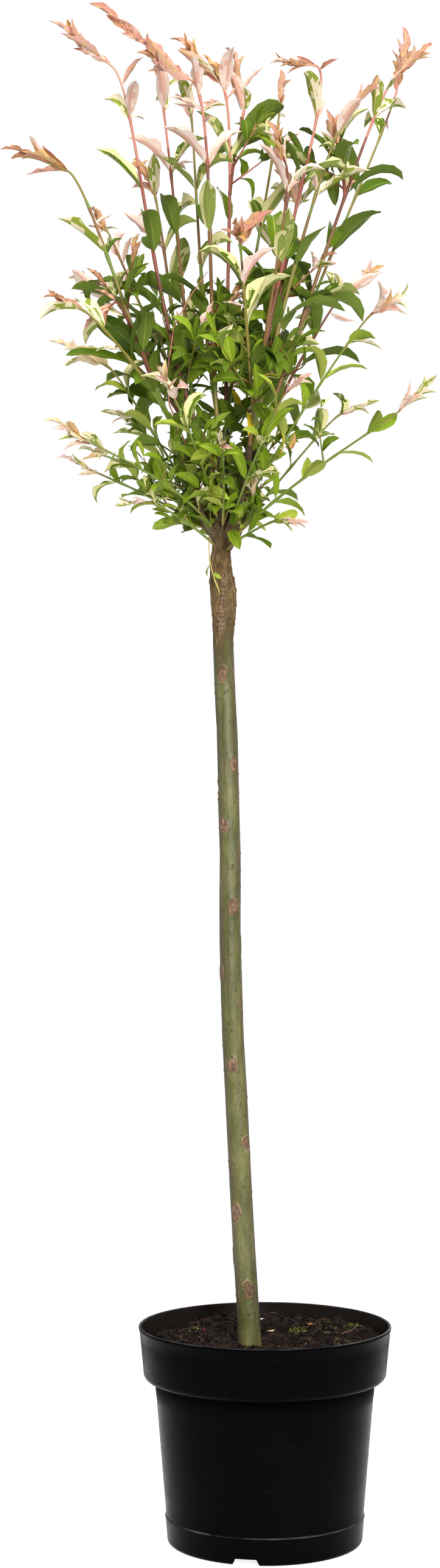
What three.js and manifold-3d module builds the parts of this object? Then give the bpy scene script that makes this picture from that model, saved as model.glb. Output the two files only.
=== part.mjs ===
// Dappled willow grafted on a tall stem, standing in a round nursery pot.
// Millimetres, +Z up. The origin is the middle of the pot's flat underside, and the
// front of the plant faces -Y.

import * as THREE from 'three';
import { mergeVertices } from 'three/addons/utils/BufferGeometryUtils.js';
import Module from 'manifold-3d';

const wasm = await Module();
wasm.setup();

// Driving dimensions

const CLEARANCE = 0.3; // between solids that touch
const POT_HEIGHT = 192;
const RIM_RADIUS = 112.5;
const LIP_THICK = 1.6;
const BAND_TOP_RADIUS = 111;
const BAND_LOW_RADIUS = 108;
const BAND_LOW = 145; // underside of the grip band
const BAND_CORNER = 5.5;
const WALL_TOP_RADIUS = 98.1;
const WALL_LOW_RADIUS = 88;
const LEDGE_HEIGHT = 24;
const LEDGE_STEP = 0.6;
const FOOT_RADIUS = 86.3;
const FOOT_CORNER = 6;
const WALL_THICK = 2;
const PAD_RADIUS = 60; // flat middle of the underside
const RECESS_RADIUS = 79;
const RECESS_HEIGHT = 6.5;
const FLOOR_THICK = 2.2;
const POT_FACETS = 32;
const NOTCH_COUNT = 3;
const NOTCH_TURN = 258; // degrees from +X
const NOTCH_HEIGHT = 6;
const NOTCH_LOW_WIDTH = 24.6;
const NOTCH_TOP_WIDTH = 18.8;

const SOIL_HEIGHT = 178; // at the trunk
const SOIL_LUMP = 3.2;
const SOIL_FLAT = [26, 52]; // where lumps start and are full, from the trunk
const SOIL_WAVES = [9, 11, 17]; // wave lengths of the lumps
const SOIL_FACETS = 24;
const SOIL_RINGS = 6;

const TRUNK_FOOT = [-13.7, -15];
const TRUNK_LEAN = -24.8; // how far left the head stands of the foot
const TRUNK_SWAY = [0.19, 0.03]; // shares of the lean, in one and two waves
const TRUNK_TOP = 908;
const TRUNK_RADIUS = 10.4;
const TRUNK_TAPER = 1;
const TRUNK_SIDES = 12;
const TRUNK_STEPS = 26;
const ROOT_FLARE = [1.6, 12]; // how far out, and over what height
// Swellings of the trunk: height, how far out, half length
const GRAFT_SWELLING = [841, 2.7, 30];
const NECK = [885, -1.3, 9];
const KNUCKLE = [901, 1.4, 9];
const DOME = [6, 8, 0.3]; // height and half length of the head's rounding, its least share
const SEAT_SUNK = 3; // how far inside the bark a limb starts
const HEAD_SEAT = 5.6; // the most that it starts out from the middle of the head

const BOUGH_RADII = [3.4, 2.7];
const BOUGH_SIDES = 6;
const BOUGH_STEPS = 4;
const BOUGH_GRIP = 0.35; // how stiffly a bough keeps its headings, of its length
const WAND_RADII = [2.7, 1];
const FORK_RADII = [2.2, 1];
const WAND_PACE = 54; // a wand's length for each straight stretch
const SHOOT_RADII = [1.9, 0.9];
const SHOOT_STEPS = 4;
const STEM_GRIP = 0.4;
const STEM_NOD = 0.08;
const STALK_SHARE = 0.5; // how much of a tuft its stalk runs through
const TWIG_SIDES = 3;
const TWIG_LENGTH = 40;
const TWIG_STALK = 7;
const TWIG_RADII = [1, 0.6];

const LEAF_THICK = 0.02; // of a leaf's length
const LEAF_BELLY = 0.42; // where a leaf is widest
const LEAF_WIDTHS = [0.38, 0.2]; // of its length, at a stem's foot and at its tuft
const LEAF_LIFTS = [56, 34]; // degrees off the stem, at its foot and at its tuft
const LEAF_SWELL = [0.82, 0.3, 1.15]; // least size, what middle leaves add, how early
const LEAF_FOLD = 0.16; // how far its edges stand up, of its width
const PAIR_STEP = 3; // from one leaf of a pair up to the other
const LEAF_RISE = 0.12; // how far leaves turn up to the light
const LEAF_LIGHT = 0.35; // how far their faces do
const SHORTEST_TIP = 22; // leaf of a tuft
const TIP_LENGTHS = [1.15, 1]; // of a tuft's leaves, first and last, against its tip leaf
const TIP_WIDTH = 0.26; // of a tuft leaf's length
const TIP_SEAT = 3; // how far below a stem's end its last leaf starts
const LEAF_SPREAD = 1.3; // makes a four-cornered leaf cover what an oval one would
const SPIRAL_TURN = 137.5; // degrees from one tuft leaf to the next
const CROWN_FLOOR = 862; // no leaf hangs lower

// How far luck moves each measure either way: shares for sizes, degrees for angles
const LUCK = {
  length: 0.12,
  width: 0.1,
  lift: 8,
  roll: 35,
  turn: 12,
  pairTurn: 18,
  gap: 0.15,
  tipLength: 0.1,
  tipLift: 0.2,
  tipRoll: 40,
  twigLength: 0.35,
};
const BOUGH_SEED = [4100, 37];
const SHOOT_SEED = [8200, 53];
const SHOOT_TURN = 40; // degrees from one shoot's first pair to the next one's

// leaf: usual length. tuft: leaves round the stalk. flare: degrees that they stand off.
// twigs: share of leaves with a side twig. twigsBelow: height that these end at.
const WAND_RULE = { leaf: 54, tuft: 3, flare: 22, twigs: 0.06, twigsBelow: 1110 };
const SHOOT_RULE = { first: 26, gap: 35, leaf: 39, tuft: 2, flare: 26, twigs: 0.04, twigsBelow: 1060 };
const TWIG_RULE = { first: 11, gap: 17, leaf: 21, tuft: 1, flare: 30 };

// A bough leaves the trunk's head and ends where its foliage starts. from: degrees
// from +X, height and lean off upright where it leaves. tip: where it ends.
// Its first wand grows on from its tip, and the others fork off that one, so many
// millimetres up. lean: off upright at its foot. top: where its tuft starts. end: the
// furthest tip of the tuft. first, gap: millimetres to the first pair of leaves and
// between pairs. turn: degrees of the first pair.
const BOUGHS = [
  {
    name: 'left', from: [178, 905, 18], tip: [-58, -14, 983],
    wands: [
      { lean: 21, top: [-135, -25, 1307], end: [-189, -35, 1347], first: 52, gap: 62, turn: 8 },
      { fork: 16, lean: 9, top: [-95, 45, 1312], end: [-102, 55, 1349], first: 40, gap: 64, turn: 20 },
      { fork: 30, lean: 34, top: [-141, 35, 1172], end: [-156, 50, 1197], first: 34, gap: 44, turn: 70 },
    ],
  },
  {
    name: 'far_left', from: [208, 893, 52], tip: [-72, -34, 968],
    wands: [
      { lean: 27, top: [-174, -45, 1211], end: [-231, -55, 1232], first: 40, gap: 50, turn: 60 },
      { fork: 24, lean: 33, top: [-157, -95, 1080], end: [-186, -110, 1092], first: 30, gap: 34, turn: 10 },
      { fork: 60, lean: 26, top: [-131, -62, 1093], end: [-158, -80, 1068], first: 28, gap: 36, turn: 50 },
    ],
  },
  {
    name: 'front', from: [266, 905, 18], tip: [-42, -36, 986],
    wands: [
      { lean: 5, top: [-64, -45, 1289], end: [-153, -60, 1356], first: 44, gap: 60, turn: 30 },
      { fork: 14, lean: 16, top: [-66, -2, 1271], end: [-71, -4, 1299], first: 56, gap: 66, turn: 85 },
    ],
  },
  {
    name: 'front_right', from: [303, 893, 50], tip: [-14, -48, 969],
    wands: [
      { lean: 5, top: [43, -45, 1303], end: [7, -55, 1304], first: 40, gap: 62, turn: 5 },
      { fork: 12, lean: 14, top: [17, -95, 1204], end: [3, -115, 1240], first: 44, gap: 52, turn: 40 },
      {
        fork: 30, lean: 30, top: [-23, -116, 1134], end: [-27, -156, 1146], first: 36, gap: 40,
        turn: 75, flare: 44,
      },
    ],
  },
  {
    name: 'right', from: [354, 905, 18], tip: [-10, -17, 988],
    wands: [
      { lean: 13, top: [74, -35, 1267], end: [98, -45, 1290], first: 36, gap: 58, turn: 80 },
      { fork: 40, lean: 12, top: [28, 8, 1190], end: [30, 8, 1222], first: 36, gap: 44, turn: 20 },
    ],
  },
  {
    name: 'far_right', from: [20, 892, 52], tip: [-6, 2, 979],
    wands: [
      { lean: 21, top: [118, 0, 1307], end: [151, 0, 1336], first: 60, gap: 60, turn: 25 },
      { fork: 18, lean: 22, top: [122, 68, 1310], end: [133, 78, 1371], first: 60, gap: 58, turn: 60 },
      { fork: 232, lean: 4, top: [64, -16, 1238], end: [58, -20, 1262], first: 16, gap: 22, turn: 45 },
    ],
  },
  {
    name: 'back', from: [86, 905, 18], tip: [-34, 14, 990],
    wands: [
      { lean: 4, top: [-39, 30, 1305], end: [-82, 40, 1356], first: 50, gap: 62, turn: 12 },
      { fork: 214, lean: 8, top: [-18, 50, 1291], end: [-30, 56, 1349], first: 40, gap: 44, turn: 60 },
      { fork: 16, lean: 15, top: [15, 64, 1293], end: [18, 74, 1327], first: 48, gap: 60, turn: 42 },
    ],
  },
  {
    name: 'back_left', from: [128, 892, 52], tip: [-66, 22, 974],
    wands: [
      { lean: 19, top: [-104, 104, 1232], end: [-120, 132, 1262], first: 44, gap: 54, turn: 15 },
      { fork: 18, lean: 34, top: [-150, 106, 1128], end: [-178, 124, 1150], first: 36, gap: 42, turn: 65 },
      { fork: 40, lean: 25, top: [-72, 146, 1100], end: [-78, 172, 1116], first: 30, gap: 38, turn: 40 },
    ],
  },
  {
    name: 'back_right', from: [56, 880, 58], tip: [-6, 34, 966],
    wands: [
      { lean: 18, top: [24, 118, 1222], end: [34, 148, 1250], first: 40, gap: 54, turn: 50 },
      { fork: 18, lean: 30, top: [84, 118, 1142], end: [112, 134, 1160], first: 34, gap: 44, turn: 5 },
    ],
  },
];

// A low shoot leaves the trunk's head sideways and carries small leaves all along.
const SHOOTS = [
  { name: 'left_upper', from: [190, 885, 50], top: [-139, -35, 1041], end: [-189, -50, 1064] },
  { name: 'left_front', from: [232, 880, 58], top: [-150, -75, 968], end: [-190, -96, 990] },
  { name: 'left_middle', from: [168, 880, 66], top: [-148, -8, 950], end: [-187, -12, 968] },
  { name: 'left_low', from: [205, 870, 62], top: [-104, -46, 921], end: [-128, -56, 917] },
  { name: 'right_upper', from: [328, 881, 50], top: [93, -75, 1082], end: [123, -90, 1100] },
  { name: 'right_low', from: [348, 871, 58], top: [116, -55, 999], end: [148, -70, 1029] },
  { name: 'right_back', from: [32, 874, 60], top: [71, 62, 1012], end: [101, 74, 1024] },
  { name: 'right_short', from: [314, 866, 72], top: [12, -56, 904], end: [34, -74, 897] },
  { name: 'front_left', from: [250, 887, 44], top: [-84, -118, 1012], end: [-92, -146, 1024] },
  { name: 'front_middle', from: [276, 880, 52], top: [-38, -112, 960], end: [-40, -146, 968] },
  { name: 'front_right', from: [296, 874, 54], top: [16, -120, 1006], end: [32, -146, 1016] },
  { name: 'back_right', from: [84, 871, 56], top: [8, 112, 994], end: [20, 144, 1004] },
  { name: 'back_middle', from: [106, 880, 60], top: [-44, 116, 972], end: [-46, 148, 980] },
  { name: 'back_left', from: [142, 880, 58], top: [-118, 72, 1006], end: [-146, 92, 1020] },
];

const POT_FINISH = { color: 0x161617, roughness: 0.48, metalness: 0 };
const SOIL_FINISH = { color: 0x2b1c14, roughness: 0.97, metalness: 0 };
const BARK_FINISH = { color: 0x7f7d5e, roughness: 0.8, metalness: 0 };
const BOUGH_FINISH = { color: 0x6b5236, roughness: 0.75, metalness: 0 };
const LEAF_FINISH = { color: 0x4f7438, roughness: 0.55, metalness: 0 };
const LOW_LEAF_FINISH = { color: 0x6a9445, roughness: 0.55, metalness: 0 };

// Small tools

const UP = new THREE.Vector3(0, 0, 1);
const ROLL_MARK = new THREE.Vector3(0.35, 0.8, -0.5).normalize();

function vector(values) {
  return new THREE.Vector3(...values);
}

// A heading from degrees round +X and degrees off upright
function heading(turn, lean) {
  const round = THREE.MathUtils.degToRad(turn);
  const tilt = THREE.MathUtils.degToRad(lean);
  return new THREE.Vector3(
    Math.sin(tilt) * Math.cos(round),
    Math.sin(tilt) * Math.sin(round),
    Math.cos(tilt),
  );
}

function bump(height, [middle, out, half]) {
  return out * Math.exp(-(((height - middle) / half) ** 2));
}

// The same numbers from 0 to 1 on every run, for one seed
function seeded(seed) {
  let state = seed >>> 0;
  return () => {
    state = (state + 0x6d2b79f5) >>> 0;
    let mix = Math.imul(state ^ (state >>> 15), state | 1);
    mix ^= mix + Math.imul(mix ^ (mix >>> 7), mix | 61);
    return ((mix ^ (mix >>> 14)) >>> 0) / 4294967296;
  };
}

// A number up to so far either side of none
function luck(draw, by) {
  return by * (2 * draw() - 1);
}

function toSolid(geometry) {
  const bare = geometry.clone();
  bare.deleteAttribute('normal');
  bare.deleteAttribute('uv');
  const merged = mergeVertices(bare, 1e-4);
  return new wasm.Manifold(
    new wasm.Mesh({
      numProp: 3,
      vertProperties: new Float32Array(merged.attributes.position.array),
      triVerts: new Uint32Array(merged.index.array),
    }),
  );
}

// The outermost skin of a solid, so that a hollow sealed by fusing comes out filled
function toGeometry(solid) {
  const { vertProperties, triVerts } = solid.getMesh();
  const lead = Array.from({ length: vertProperties.length / 3 }, (_, i) => i);
  const leader = (i) => {
    let top = i;
    while (lead[top] !== top) top = lead[top];
    return (lead[i] = top);
  };
  for (let i = 0; i < triVerts.length; i += 3) {
    lead[leader(triVerts[i + 1])] = leader(triVerts[i]);
    lead[leader(triVerts[i + 2])] = leader(triVerts[i]);
  }
  const spot = (i) => new THREE.Vector3().fromArray(vertProperties, 3 * i);
  const skins = new Map();
  for (let i = 0; i < triVerts.length; i += 3) {
    const corners = Array.from(triVerts.subarray(i, i + 3));
    const [a, b, c] = corners.map(spot);
    const skin = skins.get(leader(triVerts[i])) ?? { volume: 0, corners: [] };
    skin.volume += a.dot(b.cross(c)) / 6;
    skin.corners.push(...corners);
    skins.set(leader(triVerts[i]), skin);
  }
  const [outer] = [...skins.values()].sort((one, other) => other.volume - one.volume);
  const geometry = new THREE.BufferGeometry();
  geometry.setAttribute('position', new THREE.BufferAttribute(vertProperties, 3));
  geometry.setIndex(outer.corners);
  const tidy = mergeVertices(geometry.toNonIndexed(), 1e-7);
  tidy.computeVertexNormals();
  return tidy;
}

// The part of one heading that lies square to another
function across(heading, axis) {
  return heading.clone().addScaledVector(axis, -heading.dot(axis)).normalize();
}

function join(solids) {
  return solids.reduce((whole, solid) => whole.add(solid));
}

function part(name, geometry, finish) {
  const mesh = new THREE.Mesh(geometry, new THREE.MeshStandardMaterial(finish));
  mesh.name = name;
  return mesh;
}

// A limb: the points of its middle line, its radius at each and its frame at each
class Limb {
  constructor(points, fromRadius, toRadius) {
    this.points = points;
    this.runs = [0];
    for (let i = 1; i < points.length; i++) {
      this.runs.push(this.runs[i - 1] + points[i].distanceTo(points[i - 1]));
    }
    this.length = this.runs.at(-1);
    this.radii = this.runs.map((run) => fromRadius + ((toRadius - fromRadius) * run) / this.length);
    this.tangents = points.map((_, i) => {
      const before = points[Math.max(0, i - 1)];
      const after = points[Math.min(points.length - 1, i + 1)];
      return after.clone().sub(before).normalize();
    });
    let normal = across(ROLL_MARK, this.tangents[0]);
    this.normals = this.tangents.map((tangent) => (normal = across(normal, tangent)));
  }

  // The place and the heading so many millimetres up
  at(reach) {
    let i = 1;
    while (i < this.runs.length - 1 && this.runs[i] < reach) i++;
    const share = (reach - this.runs[i - 1]) / (this.runs[i] - this.runs[i - 1]);
    return {
      place: this.points[i - 1].clone().lerp(this.points[i], share),
      heading: this.tangents[i - 1].clone().lerp(this.tangents[i], share).normalize(),
    };
  }

  // A cylinder bent along the middle line
  geometry(sides) {
    const steps = this.points.length - 1;
    const geometry = new THREE.CylinderGeometry(1, 1, 1, sides, steps);
    const spots = geometry.attributes.position;
    const spot = new THREE.Vector3();
    for (let i = 0; i < spots.count; i++) {
      spot.fromBufferAttribute(spots, i);
      const step = Math.round((spot.y + 0.5) * steps);
      const binormal = new THREE.Vector3().crossVectors(this.tangents[step], this.normals[step]);
      const place = this.points[step]
        .clone()
        .addScaledVector(binormal, spot.x * this.radii[step])
        .addScaledVector(this.normals[step], spot.z * this.radii[step]);
      spots.setXYZ(i, place.x, place.y, place.z);
    }
    return geometry;
  }
}

// The pot: one turned wall with a lip, a grip band, a stacking ledge and a notched foot

function potOutline() {
  const outline = [new THREE.Vector2(0, 0), new THREE.Vector2(PAD_RADIUS, 0)];
  const add = (radius, height) => outline.push(new THREE.Vector2(radius, height));
  const corner = (radius, height, size, start, steps) => {
    for (let i = 0; i <= steps; i++) {
      const turn = THREE.MathUtils.degToRad(start + (90 * i) / steps);
      add(radius + size * Math.cos(turn), height + size * Math.sin(turn));
    }
  };
  add(PAD_RADIUS + 1, RECESS_HEIGHT);
  add(RECESS_RADIUS - 1, RECESS_HEIGHT);
  add(RECESS_RADIUS, 0);
  corner(FOOT_RADIUS - FOOT_CORNER, FOOT_CORNER, FOOT_CORNER, -90, 3);
  add(WALL_LOW_RADIUS + LEDGE_STEP, LEDGE_HEIGHT);
  add(WALL_LOW_RADIUS, LEDGE_HEIGHT + LEDGE_STEP);
  add(WALL_TOP_RADIUS, BAND_LOW);
  corner(BAND_LOW_RADIUS - BAND_CORNER, BAND_LOW + BAND_CORNER, BAND_CORNER, -90, 3);
  add(BAND_TOP_RADIUS, POT_HEIGHT - 2 * LIP_THICK);
  add(RIM_RADIUS, POT_HEIGHT - LIP_THICK);
  add(RIM_RADIUS - LIP_THICK / 2, POT_HEIGHT);
  add(BAND_TOP_RADIUS - WALL_THICK, POT_HEIGHT - LIP_THICK / 2);
  add(BAND_LOW_RADIUS - WALL_THICK, BAND_LOW + BAND_CORNER);
  add(WALL_TOP_RADIUS - WALL_THICK, BAND_LOW + WALL_THICK);
  add(WALL_LOW_RADIUS - WALL_THICK, RECESS_HEIGHT + 2 * FLOOR_THICK);
  add(WALL_LOW_RADIUS - 2 * WALL_THICK, RECESS_HEIGHT + FLOOR_THICK);
  add(PAD_RADIUS + 1 + FLOOR_THICK, RECESS_HEIGHT + FLOOR_THICK);
  add(PAD_RADIUS + FLOOR_THICK, FLOOR_THICK);
  add(0, FLOOR_THICK);
  return outline;
}

// LatheGeometry turns about Y, so its result is stood up on Z
function turned(outline, facets) {
  return new THREE.LatheGeometry(outline, facets).rotateX(Math.PI / 2);
}

function notchSolid(index) {
  const drop = 2;
  const slope = (NOTCH_LOW_WIDTH - NOTCH_TOP_WIDTH) / 2 / NOTCH_HEIGHT;
  const shape = new THREE.Shape([
    new THREE.Vector2(-NOTCH_LOW_WIDTH / 2 - slope * drop, -drop),
    new THREE.Vector2(NOTCH_LOW_WIDTH / 2 + slope * drop, -drop),
    new THREE.Vector2(NOTCH_TOP_WIDTH / 2, NOTCH_HEIGHT),
    new THREE.Vector2(-NOTCH_TOP_WIDTH / 2, NOTCH_HEIGHT),
  ]);
  const length = FOOT_RADIUS - RECESS_RADIUS + 2 * FOOT_CORNER;
  const geometry = new THREE.ExtrudeGeometry(shape, { depth: length, bevelEnabled: false });
  const turn = THREE.MathUtils.degToRad(NOTCH_TURN + (360 / NOTCH_COUNT) * index);
  geometry.rotateX(Math.PI / 2).rotateZ(Math.PI / 2);
  geometry.translate(RECESS_RADIUS - FOOT_CORNER, 0, 0).rotateZ(turn);
  return toSolid(geometry);
}

function pot() {
  let body = toSolid(turned(potOutline(), POT_FACETS));
  for (let i = 0; i < NOTCH_COUNT; i++) body = body.subtract(notchSolid(i));
  return part('pot', toGeometry(body), POT_FINISH);
}

// The soil fills the pot and lies flat only round the trunk's foot

function soilRise(x, y) {
  const away = Math.hypot(x - TRUNK_FOOT[0], y - TRUNK_FOOT[1]);
  const flat = THREE.MathUtils.smoothstep(away, ...SOIL_FLAT);
  const [one, two, three] = SOIL_WAVES;
  const lumps = Math.sin(x / one) * Math.cos(y / two) + Math.sin((x + 2 * y) / three);
  return (SOIL_LUMP * flat * lumps) / 2;
}

function soil() {
  const slack = 2 * CLEARANCE;
  const brim = BAND_LOW_RADIUS - WALL_THICK - slack;
  const outline = [
    [0, FLOOR_THICK + CLEARANCE],
    [PAD_RADIUS, FLOOR_THICK + CLEARANCE],
    [PAD_RADIUS + 1, RECESS_HEIGHT + FLOOR_THICK + CLEARANCE],
    [WALL_LOW_RADIUS - 3 * WALL_THICK, RECESS_HEIGHT + FLOOR_THICK + CLEARANCE],
    [WALL_LOW_RADIUS - WALL_THICK - slack, RECESS_HEIGHT + 2 * FLOOR_THICK + slack],
    [WALL_TOP_RADIUS - WALL_THICK - slack, BAND_LOW + WALL_THICK],
    [brim, BAND_LOW + BAND_CORNER + slack],
  ];
  for (let ring = SOIL_RINGS; ring >= 0; ring--) {
    outline.push([(brim * ring) / SOIL_RINGS, SOIL_HEIGHT]);
  }
  const geometry = turned(outline.map((at) => new THREE.Vector2(...at)), SOIL_FACETS);
  const spots = geometry.attributes.position;
  for (let i = 0; i < spots.count; i++) {
    if (spots.getZ(i) > SOIL_HEIGHT - 1) {
      spots.setZ(i, SOIL_HEIGHT + soilRise(spots.getX(i), spots.getY(i)));
    }
  }
  return part('soil', geometry, SOIL_FINISH);
}

// The trunk: a leaning, tapering stem with a swollen graft and a knobbly head

function trunkAxis(height) {
  const up = (height - SOIL_HEIGHT) / (TRUNK_TOP - SOIL_HEIGHT);
  const [one, two] = TRUNK_SWAY;
  const lean = up + one * Math.sin(Math.PI * up) + two * Math.sin(2 * Math.PI * up);
  return new THREE.Vector3(TRUNK_FOOT[0] + TRUNK_LEAN * lean, TRUNK_FOOT[1], height);
}

function trunkRadius(height) {
  const up = (height - SOIL_HEIGHT) / (TRUNK_TOP - SOIL_HEIGHT);
  const [out, over] = ROOT_FLARE;
  const [drop, half, least] = DOME;
  const swelling = bump(height, GRAFT_SWELLING) + bump(height, NECK) + bump(height, KNUCKLE);
  const round = Math.max(0, (height - TRUNK_TOP + drop) / half);
  const crown = Math.sqrt(Math.max(least, 1 - round ** 2));
  const flare = out * Math.exp((SOIL_HEIGHT - height) / over);
  return (TRUNK_RADIUS - TRUNK_TAPER * up + flare + swelling) * crown;
}

// Its rings are level, so that it stands on a flat cut. grow: extra all round and on top
function trunkLimb(grow) {
  const low = SOIL_HEIGHT + CLEARANCE;
  const points = [];
  for (let i = 0; i <= TRUNK_STEPS; i++) {
    points.push(trunkAxis(low + ((TRUNK_TOP - low) * i) / TRUNK_STEPS));
  }
  const trunk = new Limb(points, 1, 1);
  trunk.radii = points.map((point) => trunkRadius(point.z) + grow);
  trunk.tangents = points.map(() => UP);
  trunk.normals = points.map(() => new THREE.Vector3(0, 1, 0));
  points.at(-1).z += grow;
  return trunk;
}

// A place just inside the trunk's bark, where a limb starts
function trunkSeat([turn, height]) {
  const [middle, , half] = NECK;
  const most = height > middle + half ? HEAD_SEAT : Infinity;
  const out = Math.min(trunkRadius(height) - SEAT_SUNK, most);
  return trunkAxis(height).addScaledVector(heading(turn, 90), out);
}

// Stems

// A stem from its foot to where its tuft starts, bending over into the tuft's stalk
function stemPoints(foot, set, top, end, steps) {
  const nose = end.clone().sub(top);
  const far = foot.distanceTo(top);
  const bend = new THREE.CubicBezierCurve3(
    foot,
    foot.clone().addScaledVector(set, STEM_GRIP * far),
    top.clone().addScaledVector(nose.clone().normalize(), -STEM_NOD * far),
    top,
  );
  return [...bend.getPoints(steps), top.clone().lerp(end, STALK_SHARE)];
}

// Leaves and their seeded rule

// A leaf is a flattened octahedron: root, tip, two edges, upper and lower face
function leafGeometry(leaf) {
  const geometry = new THREE.OctahedronGeometry(1);
  const spots = geometry.attributes.position;
  const spot = new THREE.Vector3();
  for (let i = 0; i < spots.count; i++) {
    spot.fromBufferAttribute(spots, i);
    const run = LEAF_BELLY + spot.x * (spot.x > 0 ? 1 - LEAF_BELLY : LEAF_BELLY);
    const rise = spot.z * (LEAF_THICK / 2) * leaf.length + Math.abs(spot.y) * LEAF_FOLD * leaf.width;
    const place = leaf.root
      .clone()
      .addScaledVector(leaf.along, run * leaf.length)
      .addScaledVector(leaf.side, (spot.y * leaf.width) / 2)
      .addScaledVector(leaf.face, rise);
    spots.setXYZ(i, place.x, place.y, place.z);
  }
  return geometry;
}

// turn: degrees round the stem. lift: degrees off the stem. roll: degrees about the leaf
function leafAt(limb, { reach, turn, lift, roll, length, width, rise }) {
  const { place, heading: stem } = limb.at(reach);
  const out = across(ROLL_MARK, stem).applyAxisAngle(stem, THREE.MathUtils.degToRad(turn));
  const off = THREE.MathUtils.degToRad(lift);
  const along = stem.clone().multiplyScalar(Math.cos(off)).addScaledVector(out, Math.sin(off));
  along.addScaledVector(UP, rise).normalize();
  const face = stem.clone().multiplyScalar(Math.sin(off)).addScaledVector(out, -Math.cos(off));
  const lit = across(face.addScaledVector(UP, LEAF_LIGHT), along);
  lit.applyAxisAngle(along, THREE.MathUtils.degToRad(roll));
  const side = new THREE.Vector3().crossVectors(lit, along);
  return { root: place, along, side, face: lit, length, width, reach, turn };
}

// Pairs of leaves up a stem, each pair turned across the last
function pairedLeaves(limb, rule, draw) {
  const leaves = [];
  const last = limb.length - rule.stalk;
  const [least, more, early] = LEAF_SWELL;
  let reach = rule.first;
  let turn = rule.turn;
  while (reach < last) {
    const up = reach / last;
    const swell = least + more * Math.sin(Math.PI * Math.min(1, up * early));
    const share = THREE.MathUtils.lerp(...LEAF_WIDTHS, up);
    for (const side of [0, 1]) {
      const length = rule.leaf * swell * (1 + luck(draw, LUCK.length));
      leaves.push(
        leafAt(limb, {
          length,
          width: length * LEAF_SPREAD * share * (1 + luck(draw, LUCK.width)),
          lift: THREE.MathUtils.lerp(...LEAF_LIFTS, up) + luck(draw, LUCK.lift),
          roll: luck(draw, LUCK.roll),
          turn: turn + 180 * side + luck(draw, LUCK.turn),
          reach: reach + PAIR_STEP * side,
          rise: LEAF_RISE,
        }),
      );
    }
    turn += 90 + luck(draw, LUCK.pairTurn);
    reach += rule.gap * (1 + luck(draw, LUCK.gap));
  }
  return leaves;
}

// The tuft at a stem's end: narrow leaves laid forward round the stalk
function tuftLeaves(limb, rule, draw) {
  const tip = Math.max(SHORTEST_TIP, rule.stalk);
  const last = { reach: limb.length - TIP_SEAT, turn: rule.turn, lift: 0, roll: 0, rise: 0 };
  const leaves = [leafAt(limb, { ...last, length: tip + TIP_SEAT, width: tip * TIP_WIDTH })];
  for (let i = 0; i < rule.tuft; i++) {
    const up = i / rule.tuft;
    const length = tip * THREE.MathUtils.lerp(...TIP_LENGTHS, up) * (1 + luck(draw, LUCK.tipLength));
    leaves.push(
      leafAt(limb, {
        length,
        width: length * TIP_WIDTH,
        lift: rule.flare * (1 - up / 2) * (1 + luck(draw, LUCK.tipLift)),
        roll: luck(draw, LUCK.tipRoll),
        turn: rule.turn + SPIRAL_TURN * i,
        reach: limb.length - rule.stalk * (1 - up),
        rise: 0,
      }),
    );
  }
  return leaves;
}

// Clearance between convex blocks

function block(points, axes) {
  const centre = points.reduce((sum, point) => sum.add(point), new THREE.Vector3());
  centre.divideScalar(points.length);
  const radius = Math.max(...points.map((point) => point.distanceTo(centre)));
  return { points, axes, centre, radius };
}

// A leaf's corners, those near its root left out when only its blade is wanted
function leafBlock(leaf, blade) {
  const spots = leafGeometry(leaf).attributes.position;
  const points = Array.from({ length: spots.count }, (_, i) =>
    new THREE.Vector3().fromBufferAttribute(spots, i),
  ).filter((point) => !blade || point.distanceTo(leaf.root) > 1);
  return block(points, [leaf.along, leaf.side, leaf.face]);
}

function limbBlocks(limb) {
  const rings = limb.points.map((point, i) => {
    const normal = limb.normals[i];
    const binormal = new THREE.Vector3().crossVectors(limb.tangents[i], normal);
    return [-1, 1].flatMap((p) =>
      [-1, 1].map((q) =>
        point
          .clone()
          .addScaledVector(normal, p * limb.radii[i])
          .addScaledVector(binormal, q * limb.radii[i]),
      ),
    );
  });
  return rings.slice(1).map((ring, i) => {
    const run = limb.points[i + 1].clone().sub(limb.points[i]).normalize();
    const normal = across(limb.normals[i], run);
    const binormal = new THREE.Vector3().crossVectors(run, normal);
    return block([...rings[i], ...ring], [run, normal, binormal]);
  });
}

function span(points, axis) {
  const along = points.map((point) => point.dot(axis));
  return [Math.min(...along), Math.max(...along)];
}

function apart(a, b, gap) {
  if (a.centre.distanceTo(b.centre) > a.radius + b.radius + gap) return true;
  const axes = [...a.axes, ...b.axes];
  for (const one of a.axes) {
    for (const other of b.axes) {
      const cross = new THREE.Vector3().crossVectors(one, other);
      if (cross.length() > 1e-3) axes.push(cross.normalize());
    }
  }
  return axes.some((axis) => {
    const [aLow, aHigh] = span(a.points, axis);
    const [bLow, bHigh] = span(b.points, axis);
    return aLow > bHigh + gap || bLow > aHigh + gap;
  });
}

// The crown is laid out as stems with their leaves before any of it is made solid

function newGrowth(name, finish) {
  return { name, finish, stems: [], leaves: [], tips: [] };
}

function growTwig(growth, limb, leaf, draw) {
  const foot = limb.at(leaf.reach).place;
  const set = leaf.along.clone().addScaledVector(UP, LEAF_LIGHT).normalize();
  const length = TWIG_LENGTH * (1 + luck(draw, LUCK.twigLength));
  const top = foot.clone().addScaledVector(set, length);
  const end = top.clone().addScaledVector(set, 2 * TWIG_STALK);
  const twig = new Limb(stemPoints(foot, set, top, end, 1), ...TWIG_RADII);
  const rule = { ...TWIG_RULE, turn: leaf.turn, stalk: TWIG_STALK };
  growth.stems.push(twig);
  growth.leaves.push(...pairedLeaves(twig, rule, draw));
  growth.tips.push(...tuftLeaves(twig, rule, draw));
}

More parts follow.
